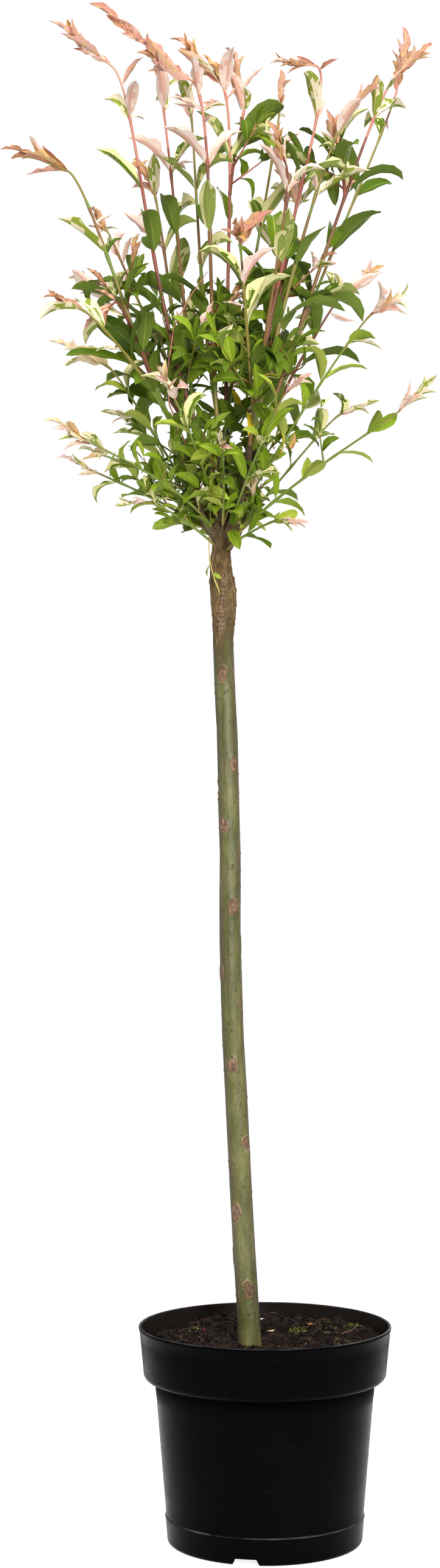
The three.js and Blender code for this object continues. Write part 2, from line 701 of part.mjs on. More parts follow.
function growStem(growth, limb, rule, draw) {
  const leaves = pairedLeaves(limb, rule, draw);
  growth.stems.push(limb);
  growth.leaves.push(...leaves);
  growth.tips.push(...tuftLeaves(limb, rule, draw));
  for (const leaf of leaves) {
    const wanted = draw() < rule.twigs;
    if (wanted && limb.at(leaf.reach).place.z < rule.twigsBelow) growTwig(growth, limb, leaf, draw);
  }
}

function turnTo(from, to) {
  return THREE.MathUtils.radToDeg(Math.atan2(to.y - from.y, to.x - from.x));
}

function layOutBough(spec, index) {
  const draw = seeded(BOUGH_SEED[0] + BOUGH_SEED[1] * index);
  const tip = vector(spec.tip);
  const seat = trunkSeat(spec.from);
  const reach = BOUGH_GRIP * seat.distanceTo(tip);
  const onward = heading(turnTo(tip, vector(spec.wands[0].top)), spec.wands[0].lean);
  const bend = new THREE.CubicBezierCurve3(
    seat,
    seat.clone().addScaledVector(heading(spec.from[0], spec.from[2]), reach),
    tip.clone().addScaledVector(onward, -reach),
    tip,
  );
  const growth = newGrowth(`foliage_${spec.name}`, LEAF_FINISH);
  for (const wand of spec.wands) {
    const top = vector(wand.top);
    const end = vector(wand.end);
    let foot = tip.clone().addScaledVector(onward, CLEARANCE);
    if (wand.fork) foot = growth.stems[0].at(wand.fork).place;
    const set = heading(turnTo(foot, top), wand.lean);
    const steps = Math.max(3, Math.round(foot.distanceTo(top) / WAND_PACE));
    const [thick, thin] = wand.fork ? FORK_RADII : WAND_RADII;
    const limb = new Limb(stemPoints(foot, set, top, end, steps), thick, thin);
    const stalk = top.distanceTo(end) * STALK_SHARE;
    const rule = { ...WAND_RULE, ...wand, stalk };
    growStem(growth, limb, rule, draw);
  }
  const limb = new Limb(bend.getPoints(BOUGH_STEPS), ...BOUGH_RADII);
  return { name: `bough_${spec.name}`, limb, growth };
}

function layOutShoot(spec, index) {
  const draw = seeded(SHOOT_SEED[0] + SHOOT_SEED[1] * index);
  const top = vector(spec.top);
  const end = vector(spec.end);
  const [turn, , lean] = spec.from;
  const points = stemPoints(trunkSeat(spec.from), heading(turn, lean), top, end, SHOOT_STEPS);
  const growth = newGrowth(`shoot_${spec.name}`, LOW_LEAF_FINISH);
  const stalk = top.distanceTo(end) * STALK_SHARE;
  const rule = { ...SHOOT_RULE, turn: SHOOT_TURN * index, stalk };
  growStem(growth, new Limb(points, ...SHOOT_RADII), rule, draw);
  return growth;
}

// Keeps the leaves of each growth that stay clear of the trunk, the boughs, the other
// growths and, past their roots, of each other. The tufts have first choice of room.
function keepClearLeaves(growths, boughs) {
  const fixed = [trunkLimb(0), ...boughs.map((bough) => bough.limb)].flatMap(limbBlocks);
  const taken = growths.map((growth) => growth.stems.flatMap(limbBlocks));
  const blades = growths.map(() => []);
  const keep = (leaves, index) => {
    const others = growths.flatMap((_, other) => (other === index ? [] : taken[other]));
    return leaves.filter((leaf) => {
      const whole = leafBlock(leaf, false);
      const blade = leafBlock(leaf, true);
      const clear =
        Math.min(...whole.points.map((point) => point.z)) > CROWN_FLOOR &&
        [...fixed, ...others].every((item) => apart(whole, item, CLEARANCE)) &&
        blades[index].every((item) => apart(blade, item, 0));
      if (clear) blades[index].push(blade);
      if (clear) taken[index].push(whole);
      return clear;
    });
  };
  growths.forEach((growth, index) => (growth.tips = keep(growth.tips, index)));
  growths.forEach((growth, index) => (growth.leaves = keep(growth.leaves, index)));
}

function growthPart(growth, trunkRoom) {
  const stems = growth.stems.map((limb) => toSolid(limb.geometry(TWIG_SIDES)));
  const leaves = [...growth.tips, ...growth.leaves].map((leaf) => toSolid(leafGeometry(leaf)));
  const whole = join([...stems, ...leaves]).subtract(trunkRoom);
  return part(growth.name, toGeometry(whole), growth.finish);
}

function plant() {
  const group = new THREE.Group();
  const trunkRoom = toSolid(trunkLimb(CLEARANCE).geometry(TRUNK_SIDES));
  const boughs = BOUGHS.map(layOutBough);
  const growths = [...boughs.map((bough) => bough.growth), ...SHOOTS.map(layOutShoot)];
  keepClearLeaves(growths, boughs);
  group.add(pot(), soil(), part('trunk', trunkLimb(0).geometry(TRUNK_SIDES), BARK_FINISH));
  for (const bough of boughs) {
    const limb = toSolid(bough.limb.geometry(BOUGH_SIDES)).subtract(trunkRoom);
    group.add(part(bough.name, toGeometry(limb), BOUGH_FINISH));
  }
  for (const growth of growths) group.add(growthPart(growth, trunkRoom));
  return group;
}

export default plant();
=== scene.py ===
import bisect
import math

import bmesh
import bpy
import numpy as np
from mathutils import Matrix, Vector, noise


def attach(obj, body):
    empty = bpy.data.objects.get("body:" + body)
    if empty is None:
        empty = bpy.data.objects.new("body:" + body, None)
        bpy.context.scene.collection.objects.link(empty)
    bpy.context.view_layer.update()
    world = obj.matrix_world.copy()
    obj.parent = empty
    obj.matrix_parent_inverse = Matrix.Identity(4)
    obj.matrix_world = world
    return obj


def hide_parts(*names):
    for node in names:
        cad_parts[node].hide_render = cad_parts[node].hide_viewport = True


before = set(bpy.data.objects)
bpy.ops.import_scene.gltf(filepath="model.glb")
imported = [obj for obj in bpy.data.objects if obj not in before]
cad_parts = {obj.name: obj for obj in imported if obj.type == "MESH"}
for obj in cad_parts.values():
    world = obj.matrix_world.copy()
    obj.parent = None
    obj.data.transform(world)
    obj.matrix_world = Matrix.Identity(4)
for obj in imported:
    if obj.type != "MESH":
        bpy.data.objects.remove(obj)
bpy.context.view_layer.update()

# A dappled willow grafted on a tall bare stem, in a round nursery pot of peat.
# Sizes of the plant's rule are millimetres, as they were laid out. Meshes are metres.

MM = 0.001
UP = Vector((0, 0, 1))

# Pot
POT_HEIGHT = 192
RIM_RADIUS = 112.5
LIP_THICK = 1.6
BAND_TOP_RADIUS = 111.6
BAND_LOW_RADIUS = 108
BAND_LOW = 145
BAND_CORNER = 5.5
WALL_TOP_RADIUS = 98.1
WALL_LOW_RADIUS = 88
LEDGE_HEIGHT = 24
LEDGE_STEP = 0.9
FOOT_RADIUS = 87
FOOT_CORNER = 3.8
WALL_THICK = 2
PAD_RADIUS = 60
RECESS_RADIUS = 79
RECESS_HEIGHT = 6.5
FLOOR_THICK = 2.2
NOTCH_COUNT = 3
NOTCH_TURN = 258
NOTCH_HEIGHT = 6
NOTCH_LOW_WIDTH = 24.6
NOTCH_TOP_WIDTH = 18.8
POT_FACETS = 144

# Peat
SOIL_HEIGHT = 178
PEAT_GAP = 0.6

# Trunk
TRUNK_FOOT = (-13.7, -15)
TRUNK_LEAN = -24.8  # how far the head lies to the right of the foot
TRUNK_SWAY = (0.19, 0.03)
TRUNK_TOP = 908
TRUNK_RADIUS = 10
TRUNK_TAPER = 1.1
ROOT_FLARE = (0.6, 12)  # how far out at the peat, and over which height it fades
# Swellings: height, how far out and half height
GRAFT_SWELLING = (841, 2.1, 22.5)
GRAFT_BULGE = (834, 1.1, 34)  # to one side only
NECK = (885, -1.3, 9)
KNUCKLE = (901, 1.4, 9)
GRAFT_KINK = (868, -1.6, 28)  # how the stem steps aside above the graft, in the same terms
# Small bends of the stem: heights, and how far it steps to the right there
STEM_BENDS = (
    (233, 396, 450, 532, 586, 613, 640, 722, 770, 803, 835, 885),
    (0.3, 0.1, -0.6, -0.5, 0.9, 1.6, 1.3, 1.1, -0.3, -1.3, -1.0, 0.0),
)

# Crown, as the plant's own rule has it
CLEARANCE = 0.3
CROWN_MIDDLE = (-38, -15)
CROWN_LOW = 866
CROWN_FOOT = 22
CROWN_SPREAD = 0.85
CROWN_WIDE = 98
BOUGH_RADII = (3.4, 2.7)
BOUGH_GRIP = 0.35
WAND_RADII = (2.1, 0.85)
FORK_RADII = (1.75, 0.8)
WAND_PACE = 9
SHOOT_RADII = (1.25, 0.75)
SHOOT_LIFT = 14  # how much higher a shoot leaves the bark than its solid does
SHOOT_RISE = 14  # and how many degrees steeper
HIGHEST_SEAT = 904
SEAT_DEPTH = 3
HEAD_REACH = 5.6
STEM_GRIP = 0.4
STEM_NOD = 0.08
STALK_SHARE = 0.5
TWIG_LENGTH = 40
TWIG_STALK = 7
TWIG_RADII = (1, 0.6)
INNER_TWIG_RADII = (0.95, 0.5)
PAIR_STEP = 3
LEAF_RISE = 0.12
LEAF_LIGHT = 0.35
TUFT_BREADTH = 0.24  # width over length of a tuft's leaf
SHORTEST_TIP = 22
LONGEST_TIP = 34
SPIRAL_TURN = 137.5

# Seeds of the random draws: the first one's, and the step to the next
LITTER_DRAWS = (140, 11)
WAND_DRAWS = (4100, 37)
SHOOT_DRAWS = (8200, 53)
FINER_DRAWS = (23000, 71)
KIND_DRAWS = (31000, 97)
TONE_DRAWS = (52000, 13)
TWIG_DRAWS = (71000, 41)
FORM_DRAWS = (900, 31)
BLADE_SEEDS = (17, 7)

WAND_RULE = dict(leaf=54, tuft=3, flare=22, twigs=0.06, twigs_below=1110)
SHOOT_RULE = dict(first=26, gap=35, leaf=39, tuft=2, flare=26, twigs=0.04, twigs_below=1060)
TWIG_RULE = dict(first=11, gap=17, leaf=21, tuft=1, flare=30)

BOUGHS = [
    ("left", (178, 905, 18), (-58, -14, 983), [
        dict(lean=21, top=(-135, -25, 1307), end=(-189, -35, 1347), first=52, gap=62, turn=8),
        dict(fork=16, lean=9, top=(-95, 45, 1312), end=(-102, 55, 1349), first=40, gap=64, turn=20),
        dict(fork=30, lean=34, top=(-141, 35, 1172), end=(-156, 50, 1197), first=34, gap=44, turn=70),
    ]),
    ("far_left", (208, 893, 52), (-72, -34, 968), [
        dict(lean=27, top=(-174, -45, 1211), end=(-231, -55, 1232), first=40, gap=50, turn=60),
        dict(fork=24, lean=33, top=(-157, -95, 1080), end=(-186, -110, 1092), first=30, gap=34, turn=10),
        dict(fork=60, lean=26, top=(-131, -62, 1093), end=(-158, -80, 1068), first=28, gap=36, turn=50),
    ]),
    ("front", (266, 905, 18), (-42, -36, 986), [
        dict(lean=5, top=(-64, -45, 1289), end=(-153, -60, 1356), first=44, gap=60, turn=30),
        dict(fork=14, lean=16, top=(-66, -2, 1271), end=(-71, -4, 1299), first=56, gap=66, turn=85),
    ]),
    ("front_right", (303, 893, 50), (-14, -48, 969), [
        dict(lean=5, top=(43, -45, 1303), end=(7, -55, 1304), first=40, gap=62, turn=5),
        dict(fork=12, lean=14, top=(17, -95, 1204), end=(3, -115, 1240), first=44, gap=52, turn=40),
        dict(fork=30, lean=30, top=(-23, -116, 1134), end=(-27, -156, 1146), first=36, gap=40,
             turn=75, flare=44),
    ]),
    ("right", (354, 905, 18), (-10, -17, 988), [
        dict(lean=13, top=(74, -35, 1267), end=(98, -45, 1290), first=36, gap=58, turn=80),
        dict(fork=40, lean=12, top=(28, 8, 1190), end=(30, 8, 1222), first=36, gap=44, turn=20),
    ]),
    ("far_right", (20, 892, 52), (-6, 2, 979), [
        dict(lean=21, top=(118, 0, 1307), end=(151, 0, 1336), first=60, gap=60, turn=25),
        dict(fork=18, lean=22, top=(122, 68, 1310), end=(133, 78, 1371), first=60, gap=58, turn=60),
        dict(fork=232, lean=4, top=(64, -16, 1238), end=(58, -20, 1262), first=16, gap=22, turn=45),
    ]),
    ("back", (86, 905, 18), (-34, 14, 990), [
        dict(lean=4, top=(-39, 30, 1305), end=(-82, 40, 1356), first=50, gap=62, turn=12),
        dict(fork=214, lean=8, top=(-18, 50, 1291), end=(-30, 56, 1349), first=40, gap=44, turn=60),
        dict(fork=16, lean=15, top=(15, 64, 1293), end=(18, 74, 1327), first=48, gap=60, turn=42),
    ]),
    ("back_left", (128, 892, 52), (-66, 22, 974), [
        dict(lean=19, top=(-104, 104, 1232), end=(-120, 132, 1262), first=44, gap=54, turn=15),
        dict(fork=18, lean=34, top=(-150, 106, 1128), end=(-178, 124, 1150), first=36, gap=42, turn=65),
        dict(fork=40, lean=25, top=(-72, 146, 1100), end=(-78, 172, 1116), first=30, gap=38, turn=40),
    ]),
    ("back_right", (56, 880, 58), (-6, 34, 966), [
        dict(lean=18, top=(24, 118, 1222), end=(34, 148, 1250), first=40, gap=54, turn=50),
        dict(fork=18, lean=30, top=(84, 118, 1142), end=(112, 134, 1160), first=34, gap=44, turn=5),
    ]),
]

SHOOTS = [
    ("left_upper", (190, 885, 50), (-139, -35, 1041), (-189, -50, 1064)),
    ("left_front", (232, 880, 58), (-150, -75, 968), (-190, -96, 990)),
    ("left_middle", (168, 880, 66), (-148, -8, 950), (-187, -12, 968)),
    ("left_low", (205, 870, 62), (-104, -46, 921), (-128, -56, 917)),
    ("right_upper", (328, 881, 50), (93, -75, 1082), (123, -90, 1100)),
    ("right_low", (348, 871, 58), (116, -55, 999), (148, -70, 1029)),
    ("right_back", (32, 874, 60), (71, 62, 1012), (101, 74, 1024)),
    ("right_short", (314, 866, 72), (12, -56, 904), (34, -74, 897)),
    ("front_left", (250, 887, 44), (-84, -118, 1012), (-92, -146, 1024)),
    ("front_middle", (276, 880, 52), (-38, -112, 960), (-40, -146, 968)),
    ("front_right", (296, 874, 54), (16, -120, 1006), (32, -146, 1016)),
    ("back_right", (84, 871, 56), (8, 112, 994), (20, 144, 1004)),
    ("back_middle", (106, 880, 60), (-44, 116, 972), (-46, 148, 980)),
    ("back_left", (142, 880, 58), (-118, 72, 1006), (-146, 92, 1020)),
]


# Camera, light and floor

ROOM_LIGHT = 0.49


def place_camera():
    data = bpy.data.cameras.new("front_view")
    data.lens = 65.2
    data.sensor_width = 36
    camera = bpy.data.objects.new("front_view", data)
    camera.location = (-0.040, -2.531, 0.674)
    camera.rotation_euler = (math.radians(90), 0, 0)
    bpy.context.scene.collection.objects.link(camera)
    bpy.context.scene.camera = camera


def soft_lamp(name, place, aim, width, height, watts):
    data = bpy.data.lights.new(name, "AREA")
    data.shape = "RECTANGLE"
    data.size = width
    data.size_y = height
    data.energy = watts
    lamp = bpy.data.objects.new(name, data)
    lamp.location = place
    lamp.rotation_euler = (Vector(aim) - Vector(place)).to_track_quat("-Z", "Y").to_euler()
    bpy.context.scene.collection.objects.link(lamp)


def light_studio():
    """A white room, brighter to look at than to be lit by, and four soft lamps."""
    world = bpy.data.worlds.new("studio")
    world.use_nodes = True
    nodes, links = world.node_tree.nodes, world.node_tree.links
    background = nodes["Background"]
    background.inputs["Color"].default_value = (1, 1, 1, 1)
    rays = nodes.new("ShaderNodeLightPath")
    glow = nodes.new("ShaderNodeMapRange")
    glow.inputs["To Min"].default_value = ROOM_LIGHT
    glow.inputs["To Max"].default_value = 1.0
    links.new(rays.outputs["Is Camera Ray"], glow.inputs["Value"])
    links.new(glow.outputs["Result"], background.inputs["Strength"])
    bpy.context.scene.world = world
    bpy.context.scene.view_settings.view_transform = "Standard"
    soft_lamp("front", (0.8, -2.95, 1.6), (-0.04, 0, 0.75), 0.6, 1.8, 84)
    soft_lamp("left", (-2.4, -0.3, 1.1), (-0.04, 0, 0.6), 0.3, 1.8, 5)
    soft_lamp("top", (-0.2, -0.4, 3.0), (0, 0, 0.9), 1.2, 1.2, 44)
    soft_lamp("back", (0.9, 2.6, 1.7), (-0.04, 0, 0.8), 0.8, 1.6, 26)


def lay_floor():
    data = bpy.data.meshes.new("floor")
    grid = bmesh.new()
    bmesh.ops.create_grid(grid, x_segments=1, y_segments=1, size=0.6)
    grid.to_mesh(data)
    grid.free()
    floor = bpy.data.objects.new("floor", data)
    bpy.context.scene.collection.objects.link(floor)
    paint = bpy.data.materials.new("pale_floor")
    paint.use_nodes = True
    shader = paint.node_tree.nodes["Principled BSDF"]
    shader.inputs["Base Color"].default_value = (0.7, 0.7, 0.7, 1)
    shader.inputs["Roughness"].default_value = 0.9
    shader.inputs["Emission Color"].default_value = (1, 1, 1, 1)
    shader.inputs["Emission Strength"].default_value = 0.85
    data.materials.append(paint)


# Small tools for shaders


def tint(red, green, blue):
    """A colour given the way a paint card gives it, from 0 to 255."""
    def straight(value):
        share = value / 255
        return share / 12.92 if share <= 0.04045 else ((share + 0.055) / 1.055) ** 2.4
    return (straight(red), straight(green), straight(blue), 1)


class Finish:
    """A material with its nodes, wired by short calls."""

    def __init__(self, name, rough=0.5):
        self.material = bpy.data.materials.new(name)
        self.material.use_nodes = True
        self.nodes = self.material.node_tree.nodes
        self.links = self.material.node_tree.links
        self.shader = self.nodes["Principled BSDF"]
        self.shader.inputs["Roughness"].default_value = rough

    def set(self, socket, value):
        self.shader.inputs[socket].default_value = value

    def place(self, scale=(1, 1, 1)):
        coordinates = self.nodes.new("ShaderNodeTexCoord")
        mapping = self.nodes.new("ShaderNodeMapping")
        mapping.inputs["Scale"].default_value = scale
        self.links.new(coordinates.outputs["Object"], mapping.inputs["Vector"])
        return mapping.outputs["Vector"]

    def height(self):
        split = self.nodes.new("ShaderNodeSeparateXYZ")
        self.links.new(self.place(), split.inputs["Vector"])
        return split.outputs["Z"]

    def reach(self):
        """Distance from the pot's axis."""
        node = self.nodes.new("ShaderNodeVectorMath")
        node.operation = "LENGTH"
        self.links.new(self.place((1, 1, 0)), node.inputs[0])
        return node.outputs["Value"]

    def attribute(self, name):
        node = self.nodes.new("ShaderNodeAttribute")
        node.attribute_name = name
        return node.outputs["Fac"]

    def speckle(self, scale, detail=4, rough=0.55, stretch=(1, 1, 1), twist=0):
        node = self.nodes.new("ShaderNodeTexNoise")
        node.inputs["Scale"].default_value = scale
        node.inputs["Detail"].default_value = detail
        node.inputs["Roughness"].default_value = rough
        node.inputs["Distortion"].default_value = twist
        self.links.new(self.place(stretch), node.inputs["Vector"])
        return node.outputs["Fac"]

    def ramp(self, source, stops):
        """Stops are (place, colour) pairs, or (place, number) pairs."""
        node = self.nodes.new("ShaderNodeValToRGB")
        self.links.new(source, node.inputs["Fac"])
        steps = node.color_ramp.elements
        while len(steps) < len(stops):
            steps.new(0.5)
        for step, (at, colour) in zip(steps, stops):
            step.position = at
            step.color = colour if isinstance(colour, tuple) else (colour, colour, colour, 1)
        return node.outputs["Color"]

    def fade(self, source, start, end):
        """From 0 at one value of the source to 1 at the other."""
        node = self.nodes.new("ShaderNodeMapRange")
        node.inputs["From Min"].default_value = start
        node.inputs["From Max"].default_value = end
        self.links.new(source, node.inputs["Value"])
        return node.outputs["Result"]

    def sum(self, kind, one, other):
        node = self.nodes.new("ShaderNodeMath")
        node.operation = kind
        for socket, value in zip(node.inputs, (one, other)):
            if isinstance(value, (int, float)):
                socket.default_value = value
            else:
                self.links.new(value, socket)
        return node.outputs["Value"]

    def blend(self, share, one, other):
        node = self.nodes.new("ShaderNodeMix")
        node.data_type = "RGBA"
        self.links.new(share, node.inputs["Factor"])
        for socket, value in ((node.inputs[6], one), (node.inputs[7], other)):
            if isinstance(value, tuple):
                socket.default_value = value
            else:
                self.links.new(value, socket)
        return node.outputs[2]

    def colour(self, source):
        self.links.new(source, self.shader.inputs["Base Color"])

    def roughness(self, source):
        self.links.new(source, self.shader.inputs["Roughness"])

    def relief(self, *layers):
        """Each layer is (height source, depth in metres, strength)."""
        last = None
        for height, depth, strength in layers:
            node = self.nodes.new("ShaderNodeBump")
            node.inputs["Distance"].default_value = depth
            node.inputs["Strength"].default_value = strength
            self.links.new(height, node.inputs["Height"])
            if last:
                self.links.new(last, node.inputs["Normal"])
            last = node.outputs["Normal"]
        self.links.new(last, self.shader.inputs["Normal"])


# Finishes


def black_plastic():
    """Satin black, with a painted highlight along the lip and the ledge's top and a painted shadow under the
    band. In metres.
    """
    finish = Finish("satin_black_plastic", 0.3)
    finish.set("Specular IOR Level", 0.022)
    grain = finish.speckle(900, 3)
    scuffs = finish.speckle(38, 6, 0.7, (1, 1, 3.4), 0.6)
    marks = finish.ramp(scuffs, [(0.60, 0.0), (0.74, 1.0)])
    dust = finish.ramp(finish.speckle(420, 2, 0.4), [(0.74, 0.0), (0.80, 1.0)])
    black = finish.ramp(finish.speckle(14, 3), [(0.3, tint(1, 1, 2)), (0.7, tint(4, 3, 4))])
    scuffed = finish.blend(finish.sum("MULTIPLY", marks, 0.3), black, tint(22, 22, 23))
    dusty = finish.blend(finish.sum("MULTIPLY", dust, 0.2), scuffed, tint(70, 64, 56))
    height = finish.height()
    # Painted shadow under the band's overhang: just below the band the base colour goes black and the
    # roughness rises to 0.9
    painted_band_shadow = finish.sum("MULTIPLY", finish.fade(height, 0.126, 0.142), finish.fade(height, 0.1465, 0.1455))
    plain = finish.blend(painted_band_shadow, dusty, tint(0, 0, 0))
    slope = (BAND_TOP_RADIUS - BAND_LOW_RADIUS) / (POT_HEIGHT - BAND_LOW)
    # The middle of the band's wall, if it ran on down to the ground
    middle = (BAND_LOW_RADIUS - slope * BAND_LOW - WALL_THICK / 2) * MM
    upright = finish.sum("SUBTRACT", finish.reach(), finish.sum("MULTIPLY", height, slope))
    inner = finish.fade(upright, middle, middle - 0.0005)
    inside = finish.sum("MULTIPLY", inner, finish.fade(height, 0.150, 0.156))
    plain = finish.blend(inside, plain, tint(29, 24, 22))
    # Painted highlight: pale lines along the lip and the top of the ledge where they catch the light, broken
    # up by noise
    highlight_breaks = finish.ramp(finish.speckle(26, 4, 0.6), [(0.42, 0.1), (0.64, 1.0)])
    lip = finish.fade(height, 0.1914, 0.1919)
    ledge = finish.sum("MULTIPLY", finish.fade(height, 0.0236, 0.0240), finish.fade(height, 0.0251, 0.0244))
    edge_highlight = finish.sum("MULTIPLY", finish.sum("ADD", lip, ledge), highlight_breaks)
    finish.colour(finish.blend(edge_highlight, plain, tint(80, 81, 86)))
    gloss = finish.ramp(scuffs, [(0.25, 0.22), (0.75, 0.38)])
    finish.roughness(finish.blend(painted_band_shadow, gloss, (0.9, 0.9, 0.9, 1)))
    finish.relief((grain, 0.0002, 0.2), (scuffs, 0.0005, 0.1))
    return finish.material


def damp_peat():
    """Near black to rusty peat with pale flecks."""
    finish = Finish("damp_peat", 0.92)
    finish.set("Specular IOR Level", 0.12)
    clumps = finish.speckle(90, 8, 0.68)
    crumbs = finish.speckle(520, 5, 0.7)
    ground = finish.ramp(clumps, [
        (0.32, tint(8, 6, 5)),
        (0.50, tint(20, 14, 11)),
        (0.66, tint(46, 30, 20)),
        (0.80, tint(88, 60, 38)),
    ])
    flecks = finish.ramp(crumbs, [(0.62, 0.0), (0.72, 1.0)])
    finish.colour(finish.blend(finish.sum("MULTIPLY", flecks, 0.4), ground, tint(104, 74, 50)))
    finish.roughness(finish.ramp(clumps, [(0.3, 0.75), (0.7, 0.98)]))
    finish.relief((crumbs, 0.002, 0.8), (clumps, 0.004, 0.6))
    return finish.material


def crumb_finish(name, colour):
    finish = Finish(name, 0.95)
    finish.set("Base Color", tint(*colour))
    finish.set("Specular IOR Level", 0.15)
    grain = finish.speckle(900, 5, 0.7)
    finish.roughness(finish.ramp(grain, [(0.3, 0.8), (0.7, 1.0)]))
    finish.relief((grain, 0.001, 0.7))
    return finish.material


def stem_bark():
    """Green bark with brown sides, which are also painted shade on the trunk's left and right edges as seen
    from the front, healed scars and the rough, flaking bark of the graft.
    """
    finish = Finish("stem_bark", 0.5)
    finish.set("Specular IOR Level", 0.55)
    fine = finish.speckle(1500, 4, 0.6, (1, 1, 0.35))
    streaks = finish.speckle(300, 6, 0.65, (1, 1, 0.1))
    patches = finish.speckle(70, 6, 0.66, (1, 1, 0.3), 0.3)
    green = finish.ramp(patches, [
        (0.30, tint(62, 66, 22)),
        (0.47, tint(92, 94, 44)),
        (0.60, tint(114, 113, 62)),
        (0.76, tint(140, 136, 88)),
    ])
    # Brown bark on the sides towards +X and -X, made darker as painted shade on the trunk's edges seen from
    # the front
    brown = finish.ramp(streaks, [(0.3, tint(58, 46, 28)), (0.7, tint(98, 80, 54))])
    sides = finish.sum("MULTIPLY", finish.attribute("tan"), finish.ramp(streaks, [(0.3, 0.2), (0.6, 1.0)]))
    skin = finish.blend(sides, green, brown)
    streaked = finish.blend(finish.ramp(streaks, [(0.58, 0.0), (0.76, 0.5)]), skin, tint(160, 150, 112))
    grain = finish.speckle(1100, 5, 0.7, (1, 1, 0.6))
    darker = finish.blend(finish.ramp(grain, [(0.34, 0.3), (0.47, 0.0)]), streaked, tint(58, 60, 28))
    streaked = finish.blend(finish.ramp(grain, [(0.53, 0.0), (0.68, 0.26)]), darker, tint(164, 158, 112))
    flakes = finish.speckle(330, 8, 0.72, (1, 1, 0.32), 0.25)
    callus = finish.ramp(flakes, [
        (0.30, tint(64, 44, 26)),
        (0.45, tint(122, 94, 56)),
        (0.58, tint(162, 128, 80)),
        (0.72, tint(206, 174, 128)),
    ])
    mossy = finish.blend(finish.ramp(patches, [(0.50, 0.0), (0.62, 0.65)]), callus, tint(112, 110, 58))
    rough = finish.attribute("rough")
    torn = finish.ramp(
        finish.sum("ADD", finish.sum("MULTIPLY", rough, 0.6), finish.sum("MULTIPLY", flakes, 0.6)),
        [(0.36, 0.0), (0.80, 1.0)],
    )
    torn = finish.sum("MULTIPLY", torn, finish.ramp(rough, [(0.0, 0.0), (0.12, 1.0)]))
    pits = finish.speckle(620, 5, 0.75, (1, 1, 0.7))
    knit = finish.ramp(pits, [
        (0.40, tint(84, 54, 34)),
        (0.50, tint(178, 138, 106)),
        (0.62, tint(224, 192, 158)),
    ])
    grafted = finish.blend(finish.attribute("knit"), finish.blend(torn, streaked, mossy), knit)
    headed = finish.blend(finish.attribute("dark"), grafted, tint(80, 60, 40))
    pith = finish.speckle(520, 6, 0.7, (1, 1, 0.6))
    scar = finish.ramp(pith, [
        (0.34, tint(80, 54, 38)),
        (0.48, tint(134, 98, 72)),
        (0.64, tint(196, 154, 118)),
    ])
    healed = finish.blend(finish.attribute("scar"), headed, scar)
    rimmed = finish.blend(finish.attribute("rim"), healed, tint(190, 148, 112))
    ringed = finish.blend(finish.attribute("ring"), rimmed, tint(74, 52, 34))
    finish.colour(finish.blend(finish.attribute("speck"), ringed, tint(62, 42, 25)))
    smooth = finish.ramp(patches, [(0.3, 0.36), (0.7, 0.46)])
    finish.roughness(finish.blend(torn, smooth, (0.9, 0.9, 0.9, 1)))
    finish.relief(
        (fine, 0.0004, 0.3),
        (streaks, 0.0006, 0.35),
        (finish.sum("MULTIPLY", torn, flakes), 0.005, 1.0),
        (finish.sum("MULTIPLY", finish.attribute("scar"), pith), 0.002, 0.8),
        (finish.sum("MULTIPLY", finish.attribute("knit"), pits), 0.003, 0.9),
    )
    return finish.material


def old_bark(name, dark, middle, light):
    """Furrowed bark with green patches."""
    finish = Finish(name, 0.72)
    furrows = finish.speckle(420, 7, 0.68, (1, 1, 0.3), 0.4)
    patches = finish.speckle(90, 4)
    body = finish.ramp(furrows, [(0.3, dark), (0.52, middle), (0.74, light)])
    finish.colour(finish.blend(finish.ramp(patches, [(0.5, 0.0), (0.7, 0.5)]), body, tint(96, 98, 52)))
    finish.relief((furrows, 0.0012, 0.7))
    return finish.material


def shoot_skin(name, colour, rough=0.42):
    finish = Finish(name, rough)
    finish.set("Base Color", colour)
    finish.relief((finish.speckle(1600, 3, 0.6, (1, 1, 0.3)), 0.0002, 0.3))
    return finish.material


def shoot_skins(name, tints, rough=0.42):
    return [shoot_skin(f"{name}_{number}", tint(*colour), rough) for number, colour in enumerate(tints)]


VEIN_SLANT = 0.16  # how far a side vein runs forward between the midrib and the margin
VEIN_PITCH = 88


def leaf_skin(name, colour, rough, gloss=0.08):
    """One tint of a leaf, with fine grain and side veins that run along the blade."""
    finish = Finish(name, rough)
    finish.set("Base Color", colour)
    finish.set("Specular IOR Level", gloss)
    grain = finish.speckle(700, 3, 0.6)
    blade = finish.nodes.new("ShaderNodeAttribute")
    blade.attribute_name = "blade_map"
    parts = finish.nodes.new("ShaderNodeSeparateXYZ")
    finish.links.new(blade.outputs["Vector"], parts.inputs["Vector"])
    forward = finish.sum("MULTIPLY", parts.outputs["Y"], VEIN_SLANT)
    slant = finish.sum("SUBTRACT", parts.outputs["X"], forward)
    wave = finish.sum("SINE", finish.sum("MULTIPLY", slant, VEIN_PITCH), 0)
    veins = finish.ramp(wave, [(0.0, 0.5), (0.8, 0.35), (1.0, 0.0)])
    finish.roughness(finish.ramp(grain, [(0.3, rough - 0.06), (0.7, rough + 0.1)]))
    finish.relief((grain, 0.0006, 0.4), (veins, 0.0005, 0.3))
    return finish.material


# Small tools for meshes


def new_object(name, data):
    piece = bpy.data.objects.new(name, data)
    bpy.context.scene.collection.objects.link(piece)
    return piece


def mesh_piece(name, points, faces, material):
    data = bpy.data.meshes.new(name)
    data.from_pydata([tuple(point) for point in points], [], [tuple(face) for face in faces])
    data.materials.append(material)
    data.shade_smooth()
    data.update()
    return new_object(name, data)


